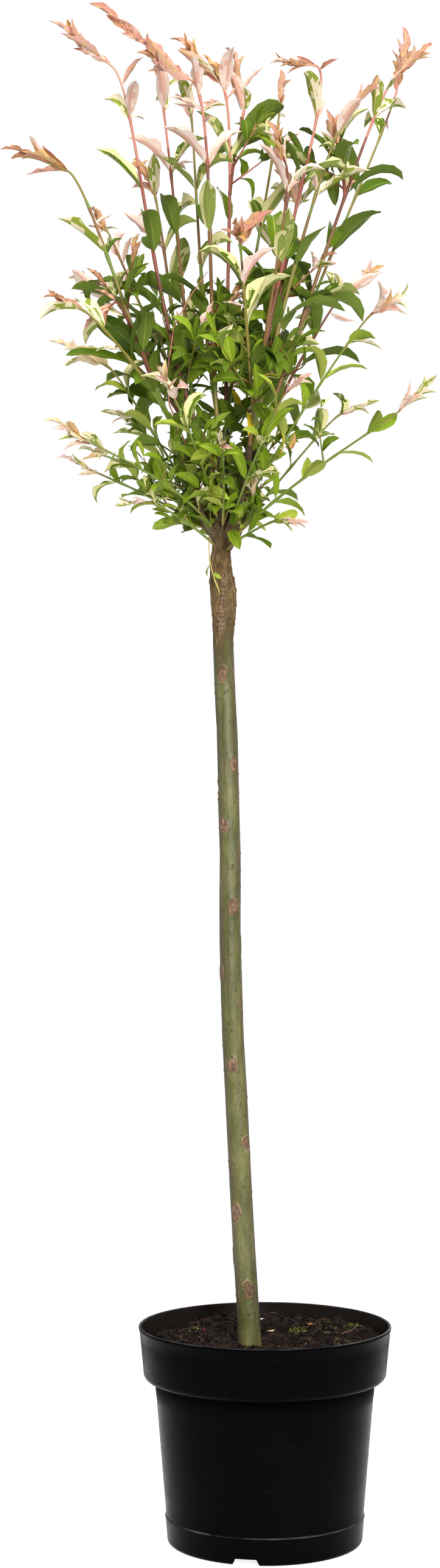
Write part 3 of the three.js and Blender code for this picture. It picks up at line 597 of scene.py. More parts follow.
def grid_faces(rows, columns, closed):
    """Quads between rows of points, with the last column joined to the first if closed."""
    faces = []
    for i in range(rows - 1):
        for j in range(columns if closed else columns - 1):
            k = (j + 1) % columns
            faces.append((i * columns + j, i * columns + k, (i + 1) * columns + k, (i + 1) * columns + j))
    return faces


def face_outwards(data):
    shape = bmesh.new()
    shape.from_mesh(data)
    bmesh.ops.recalc_face_normals(shape, faces=shape.faces)
    shape.to_mesh(data)
    shape.free()


def round_place(radius, turn, height):
    """A point at a turn round the pot's axis, from millimetres to metres."""
    return radius * MM * math.cos(turn), radius * MM * math.sin(turn), height * MM


def give_attribute(piece, name, values):
    layer = piece.data.attributes.new(name, "FLOAT", "POINT")
    layer.data.foreach_set("value", np.asarray(values, np.float32))


def baked(piece, name):
    """The evaluated mesh of a piece in place of its modifiers."""
    graph = bpy.context.evaluated_depsgraph_get()
    data = bpy.data.meshes.new_from_object(piece.evaluated_get(graph), depsgraph=graph)
    data.name = name
    piece.modifiers.clear()
    old = piece.data
    piece.data = data
    bpy.data.meshes.remove(old)
    return piece


def finish_piece(piece, slot, *nodes):
    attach(piece, "root")
    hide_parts(*nodes)


def finish_extra(piece):
    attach(piece, "root")


def smoothstep(value, low, high):
    share = min(1, max(0, (value - low) / (high - low)))
    return share * share * (3 - 2 * share)


def heading(turn, lean):
    around, tilt = math.radians(turn), math.radians(lean)
    return Vector((math.sin(tilt) * math.cos(around), math.sin(tilt) * math.sin(around), math.cos(tilt)))


def across(way, axis):
    """The part of one heading that lies square to another."""
    return (way - axis * way.dot(axis)).normalized()


def seeded(seed):
    """The same numbers from 0 to 1 on every run, as the plant's rule draws them."""
    mask = 0xFFFFFFFF
    state = seed & mask

    def draw():
        nonlocal state
        state = (state + 0x6D2B79F5) & mask
        mix = ((state ^ (state >> 15)) * (state | 1)) & mask
        mix ^= (mix + (((mix ^ (mix >> 7)) * (mix | 61)) & mask)) & mask
        return (mix ^ (mix >> 14)) / 4294967296

    return draw


def own_draw(seeds, index):
    """The draws of one of a row of things, from the first one's seed and the step to the next."""
    first, step = seeds
    return seeded(first + step * index)


def luck(draw, by):
    return by * (2 * draw() - 1)


# Pot


def pot_outline():
    outline = [(0, 0), (PAD_RADIUS, 0)]

    def corner(radius, height, size, start, steps):
        for i in range(steps + 1):
            turn = math.radians(start + 90 * i / steps)
            outline.append((radius + size * math.cos(turn), height + size * math.sin(turn)))

    outline += [(PAD_RADIUS + 1, RECESS_HEIGHT), (RECESS_RADIUS - 1, RECESS_HEIGHT), (RECESS_RADIUS, 0)]
    corner(FOOT_RADIUS - FOOT_CORNER, FOOT_CORNER, FOOT_CORNER, -90, 8)
    ledge = WALL_LOW_RADIUS + LEDGE_STEP
    outline += [(ledge - 0.3, LEDGE_HEIGHT - 1.5), (ledge, LEDGE_HEIGHT - 0.5)]
    outline += [(ledge - 0.15, LEDGE_HEIGHT + 0.1), (ledge - 0.5, LEDGE_HEIGHT + 0.3)]
    outline += [(WALL_LOW_RADIUS, LEDGE_HEIGHT + 0.5)]
    for i in range(1, 8):
        share = i / 8
        outline.append((WALL_LOW_RADIUS + (WALL_TOP_RADIUS - WALL_LOW_RADIUS) * share,
                        LEDGE_HEIGHT + 0.5 + (BAND_LOW - LEDGE_HEIGHT - 0.5) * share))
    outline += [(WALL_TOP_RADIUS, BAND_LOW - 0.4), (WALL_TOP_RADIUS + 0.5, BAND_LOW)]
    corner(BAND_LOW_RADIUS - BAND_CORNER, BAND_LOW + BAND_CORNER, BAND_CORNER, -90, 8)
    for i in range(1, 5):
        share = i / 4
        low, high = BAND_LOW + BAND_CORNER, POT_HEIGHT - 2.6 * LIP_THICK
        radius = BAND_LOW_RADIUS + (BAND_TOP_RADIUS - BAND_LOW_RADIUS) * share
        outline.append((radius, low + (high - low) * share))
    outline += [
        (BAND_TOP_RADIUS + 0.5, POT_HEIGHT - 2.1 * LIP_THICK),
        (RIM_RADIUS - 0.3, POT_HEIGHT - 1.6 * LIP_THICK),
        (RIM_RADIUS, POT_HEIGHT - LIP_THICK),
        (RIM_RADIUS - 0.25, POT_HEIGHT - 0.35),
        (RIM_RADIUS - 0.9, POT_HEIGHT),
        (BAND_TOP_RADIUS - 1.4, POT_HEIGHT - 0.2),
        (BAND_TOP_RADIUS - WALL_THICK, POT_HEIGHT - LIP_THICK),
        (BAND_LOW_RADIUS - WALL_THICK, BAND_LOW + BAND_CORNER),
        (WALL_TOP_RADIUS - WALL_THICK, BAND_LOW + WALL_THICK),
        (WALL_LOW_RADIUS - WALL_THICK, RECESS_HEIGHT + 2 * FLOOR_THICK),
        (WALL_LOW_RADIUS - 2 * WALL_THICK, RECESS_HEIGHT + FLOOR_THICK),
        (PAD_RADIUS + 1 + FLOOR_THICK, RECESS_HEIGHT + FLOOR_THICK),
        (PAD_RADIUS + FLOOR_THICK, FLOOR_THICK),
        (0, FLOOR_THICK),
    ]
    return outline


def turned_wall(outline, facets):
    """A closed turned solid whose outline starts and ends on the axis."""
    shape = bmesh.new()
    rings = []
    for radius, height in outline:
        if radius == 0:
            rings.append([shape.verts.new((0, 0, height * MM))] * facets)
            continue
        turns = [2 * math.pi * j / facets for j in range(facets)]
        rings.append([shape.verts.new(round_place(radius, turn, height)) for turn in turns])
    for low, high in zip(rings, rings[1:]):
        for j in range(facets):
            k = (j + 1) % facets
            corners = []
            for vertex in (low[j], low[k], high[k], high[j]):
                if vertex not in corners:
                    corners.append(vertex)
            shape.faces.new(corners)
    bmesh.ops.recalc_face_normals(shape, faces=shape.faces)
    return shape


def notch_cutter(index):
    """A trapezoid block that cuts one drain notch through the foot."""
    drop = 2
    slope = (NOTCH_LOW_WIDTH - NOTCH_TOP_WIDTH) / 2 / NOTCH_HEIGHT
    half_low = NOTCH_LOW_WIDTH / 2 + slope * drop
    half_top = NOTCH_TOP_WIDTH / 2
    near, far = RECESS_RADIUS - FOOT_CORNER, FOOT_RADIUS + FOOT_CORNER
    turn = Matrix.Rotation(math.radians(NOTCH_TURN + 360 / NOTCH_COUNT * index), 3, "Z")
    corners = ((-half_low, -drop), (half_low, -drop), (half_top, NOTCH_HEIGHT), (-half_top, NOTCH_HEIGHT))
    points = [turn @ Vector((out, side, height)) * MM for out in (near, far) for side, height in corners]
    faces = [(0, 1, 2, 3), (7, 6, 5, 4), (0, 4, 5, 1), (1, 5, 6, 2), (2, 6, 7, 3), (3, 7, 4, 0)]
    data = bpy.data.meshes.new("notch")
    data.from_pydata([tuple(point) for point in points], [], faces)
    face_outwards(data)
    return new_object(f"notch_{index}", data)


def make_pot():
    shape = turned_wall(pot_outline(), POT_FACETS)
    data = bpy.data.meshes.new("nursery_pot")
    shape.to_mesh(data)
    shape.free()
    pot = new_object("nursery_pot", data)
    cutters = [notch_cutter(index) for index in range(NOTCH_COUNT)]
    for cutter in cutters:
        cut = pot.modifiers.new("notch", "BOOLEAN")
        cut.operation = "DIFFERENCE"
        cut.solver = "EXACT"
        cut.object = cutter
    bevel = pot.modifiers.new("soft_edges", "BEVEL")
    bevel.width = 0.0004
    bevel.segments = 2
    bevel.limit_method = "ANGLE"
    bevel.angle_limit = math.radians(50)
    baked(pot, "nursery_pot")
    for cutter in cutters:
        bpy.data.objects.remove(cutter)
    pot.data.materials.clear()
    pot.data.materials.append(black_plastic())
    pot.data.shade_smooth()
    finish_piece(pot, "pot_plastic", "pot")


# Geometry Nodes: one tree sows pieces on points, one draws stems along paths


def group_sockets(tree, inputs):
    tree.interface.new_socket("Geometry", in_out="OUTPUT", socket_type="NodeSocketGeometry")
    tree.interface.new_socket("Geometry", in_out="INPUT", socket_type="NodeSocketGeometry")
    for name, kind in inputs:
        tree.interface.new_socket(name, in_out="INPUT", socket_type=kind)


def named(tree, name, kind="FLOAT"):
    node = tree.nodes.new("GeometryNodeInputNamedAttribute")
    node.data_type = kind
    node.inputs["Name"].default_value = name
    return node.outputs["Attribute"]


def band_test(tree, value, low, high):
    """True where a value lies between two bounds."""
    above = tree.nodes.new("FunctionNodeCompare")
    above.operation = "GREATER_EQUAL"
    above.inputs[1].default_value = low
    below = tree.nodes.new("FunctionNodeCompare")
    below.operation = "LESS_THAN"
    below.inputs[1].default_value = high
    tree.links.new(value, above.inputs[0])
    tree.links.new(value, below.inputs[0])
    both = tree.nodes.new("FunctionNodeBooleanMath")
    both.operation = "AND"
    tree.links.new(above.outputs[0], both.inputs[0])
    tree.links.new(below.outputs[0], both.inputs[1])
    return both.outputs[0]


def paint_tones(tree, source, count, entry):
    """Sets Tone 0 all over, then each later tone on the faces that carry its number."""
    tone = named(tree, "tone")
    for index in range(count):
        paint = tree.nodes.new("GeometryNodeSetMaterial")
        tree.links.new(source, paint.inputs["Geometry"])
        tree.links.new(entry.outputs[f"Tone {index}"], paint.inputs["Material"])
        if index:
            test = band_test(tree, tone, index - 0.5, index + 0.5)
            tree.links.new(test, paint.inputs["Selection"])
        source = paint.outputs["Geometry"]
    return source


def sowing_tree(name, tones):
    """Puts one of a collection's shapes on each point, by its own turn, size and pick."""
    tree = bpy.data.node_groups.new(name, "GeometryNodeTree")
    materials = [(f"Tone {index}", "NodeSocketMaterial") for index in range(tones)]
    group_sockets(tree, [("Shapes", "NodeSocketCollection"), ("Size", "NodeSocketFloat"), *materials])
    entry = tree.nodes.new("NodeGroupInput")
    leave = tree.nodes.new("NodeGroupOutput")
    shapes = tree.nodes.new("GeometryNodeCollectionInfo")
    shapes.inputs["Separate Children"].default_value = True
    shapes.inputs["Reset Children"].default_value = True
    tree.links.new(entry.outputs["Shapes"], shapes.inputs["Collection"])
    turn = tree.nodes.new("FunctionNodeEulerToRotation")
    tree.links.new(named(tree, "turn", "FLOAT_VECTOR"), turn.inputs["Euler"])
    size = tree.nodes.new("ShaderNodeVectorMath")
    size.operation = "SCALE"
    tree.links.new(named(tree, "size", "FLOAT_VECTOR"), size.inputs[0])
    tree.links.new(entry.outputs["Size"], size.inputs["Scale"])
    sow = tree.nodes.new("GeometryNodeInstanceOnPoints")
    sow.inputs["Pick Instance"].default_value = True
    tree.links.new(entry.outputs["Geometry"], sow.inputs["Points"])
    tree.links.new(shapes.outputs["Instances"], sow.inputs["Instance"])
    tree.links.new(named(tree, "pick", "INT"), sow.inputs["Instance Index"])
    tree.links.new(turn.outputs["Rotation"], sow.inputs["Rotation"])
    tree.links.new(size.outputs["Vector"], sow.inputs["Scale"])
    real = tree.nodes.new("GeometryNodeRealizeInstances")
    tree.links.new(sow.outputs["Instances"], real.inputs["Geometry"])
    painted = paint_tones(tree, real.outputs["Geometry"], tones, entry)
    tree.links.new(painted, leave.inputs["Geometry"])
    return tree


def stem_tree(name, tones):
    """Draws a round skin of its own girth along each path."""
    tree = bpy.data.node_groups.new(name, "GeometryNodeTree")
    materials = [(f"Tone {index}", "NodeSocketMaterial") for index in range(tones)]
    group_sockets(tree, [("Sides", "NodeSocketInt"), ("Thickness", "NodeSocketFloat"), *materials])
    entry = tree.nodes.new("NodeGroupInput")
    leave = tree.nodes.new("NodeGroupOutput")
    path = tree.nodes.new("GeometryNodeMeshToCurve")
    tree.links.new(entry.outputs["Geometry"], path.inputs["Mesh"])
    girth = tree.nodes.new("ShaderNodeMath")
    girth.operation = "MULTIPLY"
    tree.links.new(named(tree, "girth"), girth.inputs[0])
    tree.links.new(entry.outputs["Thickness"], girth.inputs[1])
    ring = tree.nodes.new("GeometryNodeCurvePrimitiveCircle")
    ring.inputs["Radius"].default_value = 1
    tree.links.new(entry.outputs["Sides"], ring.inputs["Resolution"])
    skin = tree.nodes.new("GeometryNodeCurveToMesh")
    skin.inputs["Fill Caps"].default_value = True
    tree.links.new(path.outputs["Curve"], skin.inputs["Curve"])
    tree.links.new(ring.outputs["Curve"], skin.inputs["Profile Curve"])
    tree.links.new(girth.outputs["Value"], skin.inputs["Scale"])
    smooth = tree.nodes.new("GeometryNodeSetShadeSmooth")
    tree.links.new(skin.outputs["Mesh"], smooth.inputs["Geometry"])
    real = tree.nodes.new("GeometryNodeRealizeInstances")
    tree.links.new(smooth.outputs["Geometry"], real.inputs["Geometry"])
    painted = paint_tones(tree, real.outputs["Geometry"], tones, entry)
    tree.links.new(painted, leave.inputs["Geometry"])
    return tree


def run_tree(piece, tree, values):
    """Hangs a tree on a piece, sets its named inputs and takes the result as a plain mesh."""
    modifier = piece.modifiers.new("grow", "NODES")
    modifier.node_group = tree
    for socket in tree.interface.items_tree:
        if socket.item_type == "SOCKET" and socket.in_out == "INPUT" and socket.name in values:
            modifier[socket.identifier] = values[socket.name]
    return baked(piece, piece.name)


class Spray:
    """Places where one kind of small thing is sown, with its turn, its size and which shape."""

    def __init__(self):
        self.places, self.turns, self.sizes, self.picks = [], [], [], []

    def put(self, place, turn, size, pick):
        self.places.append(tuple(Vector(place) * MM))
        self.turns.append(tuple(turn))
        self.sizes.append(tuple(size))
        self.picks.append(pick)

    def put_leaf(self, leaf, pick):
        basis = Matrix((leaf.along, leaf.side, leaf.face)).transposed()
        self.put(leaf.root, basis.to_euler(), (leaf.length, leaf.width, leaf.width), pick)


def sow_spray(name, spray, shapes, tree, skins):
    data = bpy.data.meshes.new(name)
    data.from_pydata(spray.places, [], [])
    for key, values in (("turn", spray.turns), ("size", spray.sizes)):
        layer = data.attributes.new(key, "FLOAT_VECTOR", "POINT")
        layer.data.foreach_set("vector", np.asarray(values, np.float32).reshape(-1))
    layer = data.attributes.new("pick", "INT", "POINT")
    layer.data.foreach_set("value", np.asarray(spray.picks, np.int32))
    values = {"Shapes": shapes, "Size": MM}
    values.update({f"Tone {number}": skin for number, skin in enumerate(skins)})
    return run_tree(new_object(name, data), tree, values)


def draw_paths(name, paths, sides, skins):
    """One piece of round stems. Each path is a list of (place, girth, tone)."""
    points, edges, girths, tones = [], [], [], []
    for path in paths:
        for i, (place, girth, tone) in enumerate(path):
            if i:
                edges.append((len(points) - 1, len(points)))
            points.append(tuple(place * MM))
            girths.append(girth * MM)
            tones.append(tone)
    data = bpy.data.meshes.new(name)
    data.from_pydata(points, edges, [])
    for key, values in (("girth", girths), ("tone", tones)):
        layer = data.attributes.new(key, "FLOAT", "POINT")
        layer.data.foreach_set("value", np.asarray(values, np.float32))
    values = {"Sides": sides, "Thickness": 1.0}
    values.update({f"Tone {number}": skin for number, skin in enumerate(skins)})
    return run_tree(new_object(name, data), stem_tree(f"draw_{name}", len(skins)), values)


# Peat


def peat_rise(x, y):
    """Lumps of the peat, in millimetres above its usual level. The lie is lower at the rim."""
    away = math.hypot(x - TRUNK_FOOT[0], y - TRUNK_FOOT[1])
    swell = math.sin(x / 9) * math.cos(y / 11) + math.sin((x + 2 * y) / 17)
    clods = noise.fractal(Vector((x / 19, y / 19, 2.3)), 1.0, 2.2, 4)
    grit = noise.fractal(Vector((x / 4.5, y / 4.5, 7.1)), 0.9, 2.1, 3)
    knobs = max(0, noise.noise(Vector((x / 11, y / 11, 4.4)))) ** 1.5
    flat = smoothstep(away, 14, 45)
    edge = smoothstep(math.hypot(x, y), 92, 106)
    heap = 4.5 * smoothstep(y + 0.35 * x, 10, 80)
    middle_x, middle_y, wide, deep, depth = HOLLOW
    hollow = depth * math.exp(-(((x - middle_x) / wide) ** 2) - ((y - middle_y) / deep) ** 2)
    return flat * (1.2 * swell + 3.2 * clods + 8 * knobs) + heap + 1.3 * grit - 2.5 * edge - hollow


def make_peat():
    rings, spokes = 92, 200
    brim = BAND_LOW_RADIUS - WALL_THICK - PEAT_GAP
    points = []
    for i in range(rings):
        radius = brim * (i + 1) / rings
        for j in range(spokes):
            turn = 2 * math.pi * j / spokes
            x, y = radius * math.cos(turn), radius * math.sin(turn)
            points.append((x * MM, y * MM, (SOIL_HEIGHT + peat_rise(x, y)) * MM))
    faces = [tuple(reversed(face)) for face in grid_faces(rings, spokes, True)]
    centre = len(points)
    points.append((0, 0, (SOIL_HEIGHT + peat_rise(0, 0)) * MM))
    faces += [(centre, j, (j + 1) % spokes) for j in range(spokes)]
    skirt = [(rings - 1) * spokes + j for j in range(spokes)]
    sides = [
        (brim, BAND_LOW + BAND_CORNER + PEAT_GAP),
        (WALL_TOP_RADIUS - WALL_THICK - PEAT_GAP, BAND_LOW + WALL_THICK),
        (WALL_LOW_RADIUS - WALL_THICK - PEAT_GAP, RECESS_HEIGHT + 2 * FLOOR_THICK + PEAT_GAP),
        (WALL_LOW_RADIUS - 3 * WALL_THICK, RECESS_HEIGHT + FLOOR_THICK + 0.3),
        (PAD_RADIUS + 1, RECESS_HEIGHT + FLOOR_THICK + 0.3),
        (PAD_RADIUS, FLOOR_THICK + 0.3),
    ]
    for radius, height in sides:
        start = len(points)
        for j in range(spokes):
            points.append(round_place(radius, 2 * math.pi * j / spokes, height))
        ring = list(range(start, start + spokes))
        for j in range(spokes):
            k = (j + 1) % spokes
            faces.append((skirt[j], ring[j], ring[k], skirt[k]))
        skirt = ring
    faces.append(tuple(reversed(skirt)))
    peat = mesh_piece("potting_peat", points, faces, damp_peat())
    face_outwards(peat.data)
    finish_piece(peat, "peat", "soil")


# Crumbs and bits on the peat: how many, smallest and largest half width, flatness and tint
LITTER = {
    "black_clods": (170, 1.0, 2.7, 0.8, (12, 9, 7)),
    "black_crumbs": (1600, 0.4, 1.3, 0.8, (14, 10, 8)),
    "brown_crumbs": (900, 0.3, 1.1, 0.8, (54, 31, 18)),
    "rust_bits": (160, 0.3, 1.0, 0.5, (124, 72, 38)),
    "pale_grit": (40, 0.25, 0.8, 0.8, (182, 162, 130)),
}
# Tufts of moss: x, y, spread and how many blades
MOSS = [
    (30, 30, 9, 60), (44, 68, 7, 34), (82, 40, 10, 44), (58, 34, 13, 26),
    (-64, 36, 5, 14), (68, -22, 6, 16), (-20, 84, 6, 18),
]
# A hollow beside the stem: place, half widths and depth
HOLLOW = (9, -13, 14, 9, 7)
# Single bits: name, place, turn, half sizes and tint
ODD_BITS = [
    ("wood_chip", (5, 30), 25, (4.6, 1.5, 0.8), (214, 184, 138)),
    ("bark_chip", (41, 40), 300, (3.2, 1.8, 0.9), (184, 116, 84)),
    ("bark_chip_small", (-84, 8), 70, (2.6, 1.4, 0.8), (160, 98, 62)),
    ("petal_fleck", (-54, 30), 60, (2.2, 1.3, 0.9), (150, 28, 84)),
    ("grass_blade", (-32, 14), 80, (3.6, 0.6, 0.5), (150, 166, 62)),
    ("pale_speck", (-2, 64), 0, (1.6, 1.1, 0.7), (206, 214, 190)),
]
MOSS_TINTS = ((72, 88, 36), (112, 124, 56))
MOSS_SEED = 262
ROOTLET_TINTS = [(50, 31, 19), (88, 57, 35), (140, 106, 70)]
ROOTLETS = 640
ROOTLET_STEPS = 8
ROOTLET_SEED = 377
# How far from the pot's axis crumbs lie, rootlets start and rootlets end
CRUMB_REACH = 101
ROOTLET_REACH = 98
ROOTLET_EDGE = 102
TRUNK_ROOM = 13


def lump_shapes(name, count, detail):
    shapes = bpy.data.collections.new(name)
    for index in range(count):
        lump = bmesh.new()
        bmesh.ops.create_icosphere(lump, subdivisions=detail, radius=1)
        for vertex in lump.verts:
            spot = vertex.co * 1.7 + Vector((7 * index, 3, 1))
            vertex.co *= 1 + 0.7 * noise.noise(spot) + 0.4 * noise.noise(spot * 2.3)
        data = bpy.data.meshes.new(f"{name}_{index}")
        lump.to_mesh(data)
        lump.free()
        shapes.objects.link(bpy.data.objects.new(f"{name}_{index}", data))
    return shapes


def peat_spot(draw, reach=CRUMB_REACH):
    """A place on the peat clear of the trunk."""
    while True:
        away, turn = reach * math.sqrt(draw()), 2 * math.pi * draw()
        x, y = away * math.cos(turn), away * math.sin(turn)
        if math.hypot(x - TRUNK_FOOT[0], y - TRUNK_FOOT[1]) > TRUNK_ROOM:
            return x, y


def on_peat(x, y, above=0.0):
    return Vector((x, y, SOIL_HEIGHT + peat_rise(x, y) + above))


def make_litter():
    tree = sowing_tree("sow_litter", 1)
    crumbs, clods = lump_shapes("crumb", 6, 1), lump_shapes("clod", 5, 2)
    for index, (name, (count, least, most, flat, colour)) in enumerate(LITTER.items()):
        draw = own_draw(LITTER_DRAWS, index)
        spray = Spray()
        for _ in range(count):
            x, y = peat_spot(draw)
            size = least + (most - least) * draw() ** 2
            turn = (luck(draw, 0.6), luck(draw, 0.6), 6.28 * draw())
            long = 1 + 0.6 * draw()
            spray.put(on_peat(x, y, 0.25 * size), turn, (size * long, size, size * flat), int(draw() * 5))
        shapes = clods if "clods" in name else crumbs
        piece = sow_spray(name, spray, shapes, tree, [crumb_finish(name, colour)])
        finish_extra(piece)
    draw = seeded(MOSS_SEED)
    for number, colour in enumerate(MOSS_TINTS):
        spray = Spray()
        for x, y, spread, count in MOSS:
            for _ in range(count // 2):
                far, turn = spread * math.sqrt(draw()), 6.28 * draw()
                place = on_peat(x + far * math.cos(turn), y + far * math.sin(turn), 0.8 * draw())
                size = 0.5 + 0.6 * draw()
                roll = (luck(draw, 0.9), luck(draw, 0.9), 6.28 * draw())
                spray.put(place, roll, (2.2 * size, 0.7 * size, 0.45 * size), int(draw() * 6))
        piece = sow_spray(f"moss_{number}", spray, crumbs, tree, [crumb_finish(f"moss_{number}", colour)])
        finish_extra(piece)
    for index, (name, (x, y), turn, sizes, colour) in enumerate(ODD_BITS):
        spray = Spray()
        spray.put(on_peat(x, y, 0.9), (0.1, -0.15, math.radians(turn)), sizes, index % 5)
        piece = sow_spray(name, spray, clods, tree, [crumb_finish(name, colour)])
        finish_extra(piece)
    draw = seeded(ROOTLET_SEED)
    # The first one is a long pale root on top
    paths = [[(on_peat(46 + 5.5 * i, 12 + 5 * math.sin(i * 0.9) + 3 * i, 1.2), 0.38, 2) for i in range(8)]]
    for _ in range(ROOTLETS):
        x, y = peat_spot(draw, ROOTLET_REACH)
        turn, length, rise = 6.28 * draw(), 4 + 17 * draw() ** 2, 4.5 * draw() ** 2
        tone, girth, path = int(2.2 * draw() ** 1.3), 0.06 + 0.08 * draw(), []
        for i in range(ROOTLET_STEPS + 1):
            path.append((on_peat(x, y, 0.3 + rise * math.sin(math.pi * i / ROOTLET_STEPS)), girth, tone))
            turn += luck(draw, 0.6)
            x += length / ROOTLET_STEPS * math.cos(turn)
            y += length / ROOTLET_STEPS * math.sin(turn)
            if math.hypot(x, y) > ROOTLET_EDGE:
                break
        if len(path) > 2:
            paths.append(path)
    finish_extra(draw_paths("rootlets", paths, 5, shoot_skins("rootlet_skin", ROOTLET_TINTS, 0.8)))


# Trunk


def trunk_axis(height):
    up = (height - SOIL_HEIGHT) / (TRUNK_TOP - SOIL_HEIGHT)
    one, two = TRUNK_SWAY
    lean = up + one * math.sin(math.pi * up) + two * math.sin(2 * math.pi * up)
    aside = bump(height, GRAFT_KINK) + float(np.interp(height, *STEM_BENDS))
    return Vector((TRUNK_FOOT[0] + TRUNK_LEAN * lean + aside, TRUNK_FOOT[1], height))


def bump(height, swelling):
    middle, out, half = swelling
    return out * math.exp(-(((height - middle) / half) ** 2))


def trunk_radius(height):
    up = (height - SOIL_HEIGHT) / (TRUNK_TOP - SOIL_HEIGHT)
    out, over = ROOT_FLARE
    swelling = bump(height, GRAFT_SWELLING) + bump(height, NECK) + bump(height, KNUCKLE)
    crown = math.sqrt(max(0.3, 1 - max(0, (height - TRUNK_TOP + 6) / 8) ** 2))
    flare = out * math.exp((SOIL_HEIGHT - height) / over)
    return (TRUNK_RADIUS - TRUNK_TAPER * up + flare + swelling) * crown


# Healed bud scars: height, degrees from +X, half width and half height
BUD_SCARS = [
    (772, 259, 5.0, 7.4), (692, 307, 4.3, 7.6), (637, 235, 4.8, 7.4), (566, 288, 4.6, 7.4),
    (507, 204, 4.2, 7.4), (481, 318, 2.4, 3.6), (426, 257, 4.6, 7.2), (357, 312, 4.2, 6.2),
    (296, 231, 5.0, 8.8), (228, 279, 4.8, 7.4),
    (733, 110, 5.0, 8.5), (610, 70, 5.2, 8.6), (531, 25, 4.8, 8.0), (452, 130, 5.4, 9.0),
    (386, 48, 5.0, 8.2), (322, 100, 5.4, 9.0), (256, 150, 5.0, 8.4), (668, 180, 4.8, 8.0),
]
GRAFT_FACE = 340  # degrees from +X that the graft bulges to
# The knitted seam of the graft: height, degrees from +X, half width and half height
GRAFT_KNIT = [
    (855, 286, 3.0, 4.4), (846, 280, 2.3, 5.4), (837, 276, 2.4, 5.4),
    (827, 272, 2.8, 5.0), (817, 262, 4.8, 7.2), (812, 262, 2.6, 7.0),
]
# A loose edge of bark: height, degrees from +X, half width, half height and how far out
BARK_FLAP = (836, 352, 2.6, 23, 1.5)
# Heights from which the bark roughens and darkens, and over how much height
ROUGH_BARK = (776, 44)
DARK_HEAD = (884, 14)
SPECKS = 380
SPECK_HEIGHTS = (184, 640)
SPECK_SEED = 611


def bark_specks():
    """Lenticels: height, degrees from +X, half width, half height and how far they stand out."""
    draw = seeded(SPECK_SEED)
    lowest, over = SPECK_HEIGHTS
    specks = []
    for _ in range(SPECKS):
        height = lowest + over * draw()
        degrees, half_width = 360 * draw(), 0.5 + 0.8 * draw() ** 2
        half_height, out = 0.4 + 0.5 * draw(), 0.25 + 0.45 * draw()
        specks.append((height, degrees, half_width, half_height, out))
    return specks


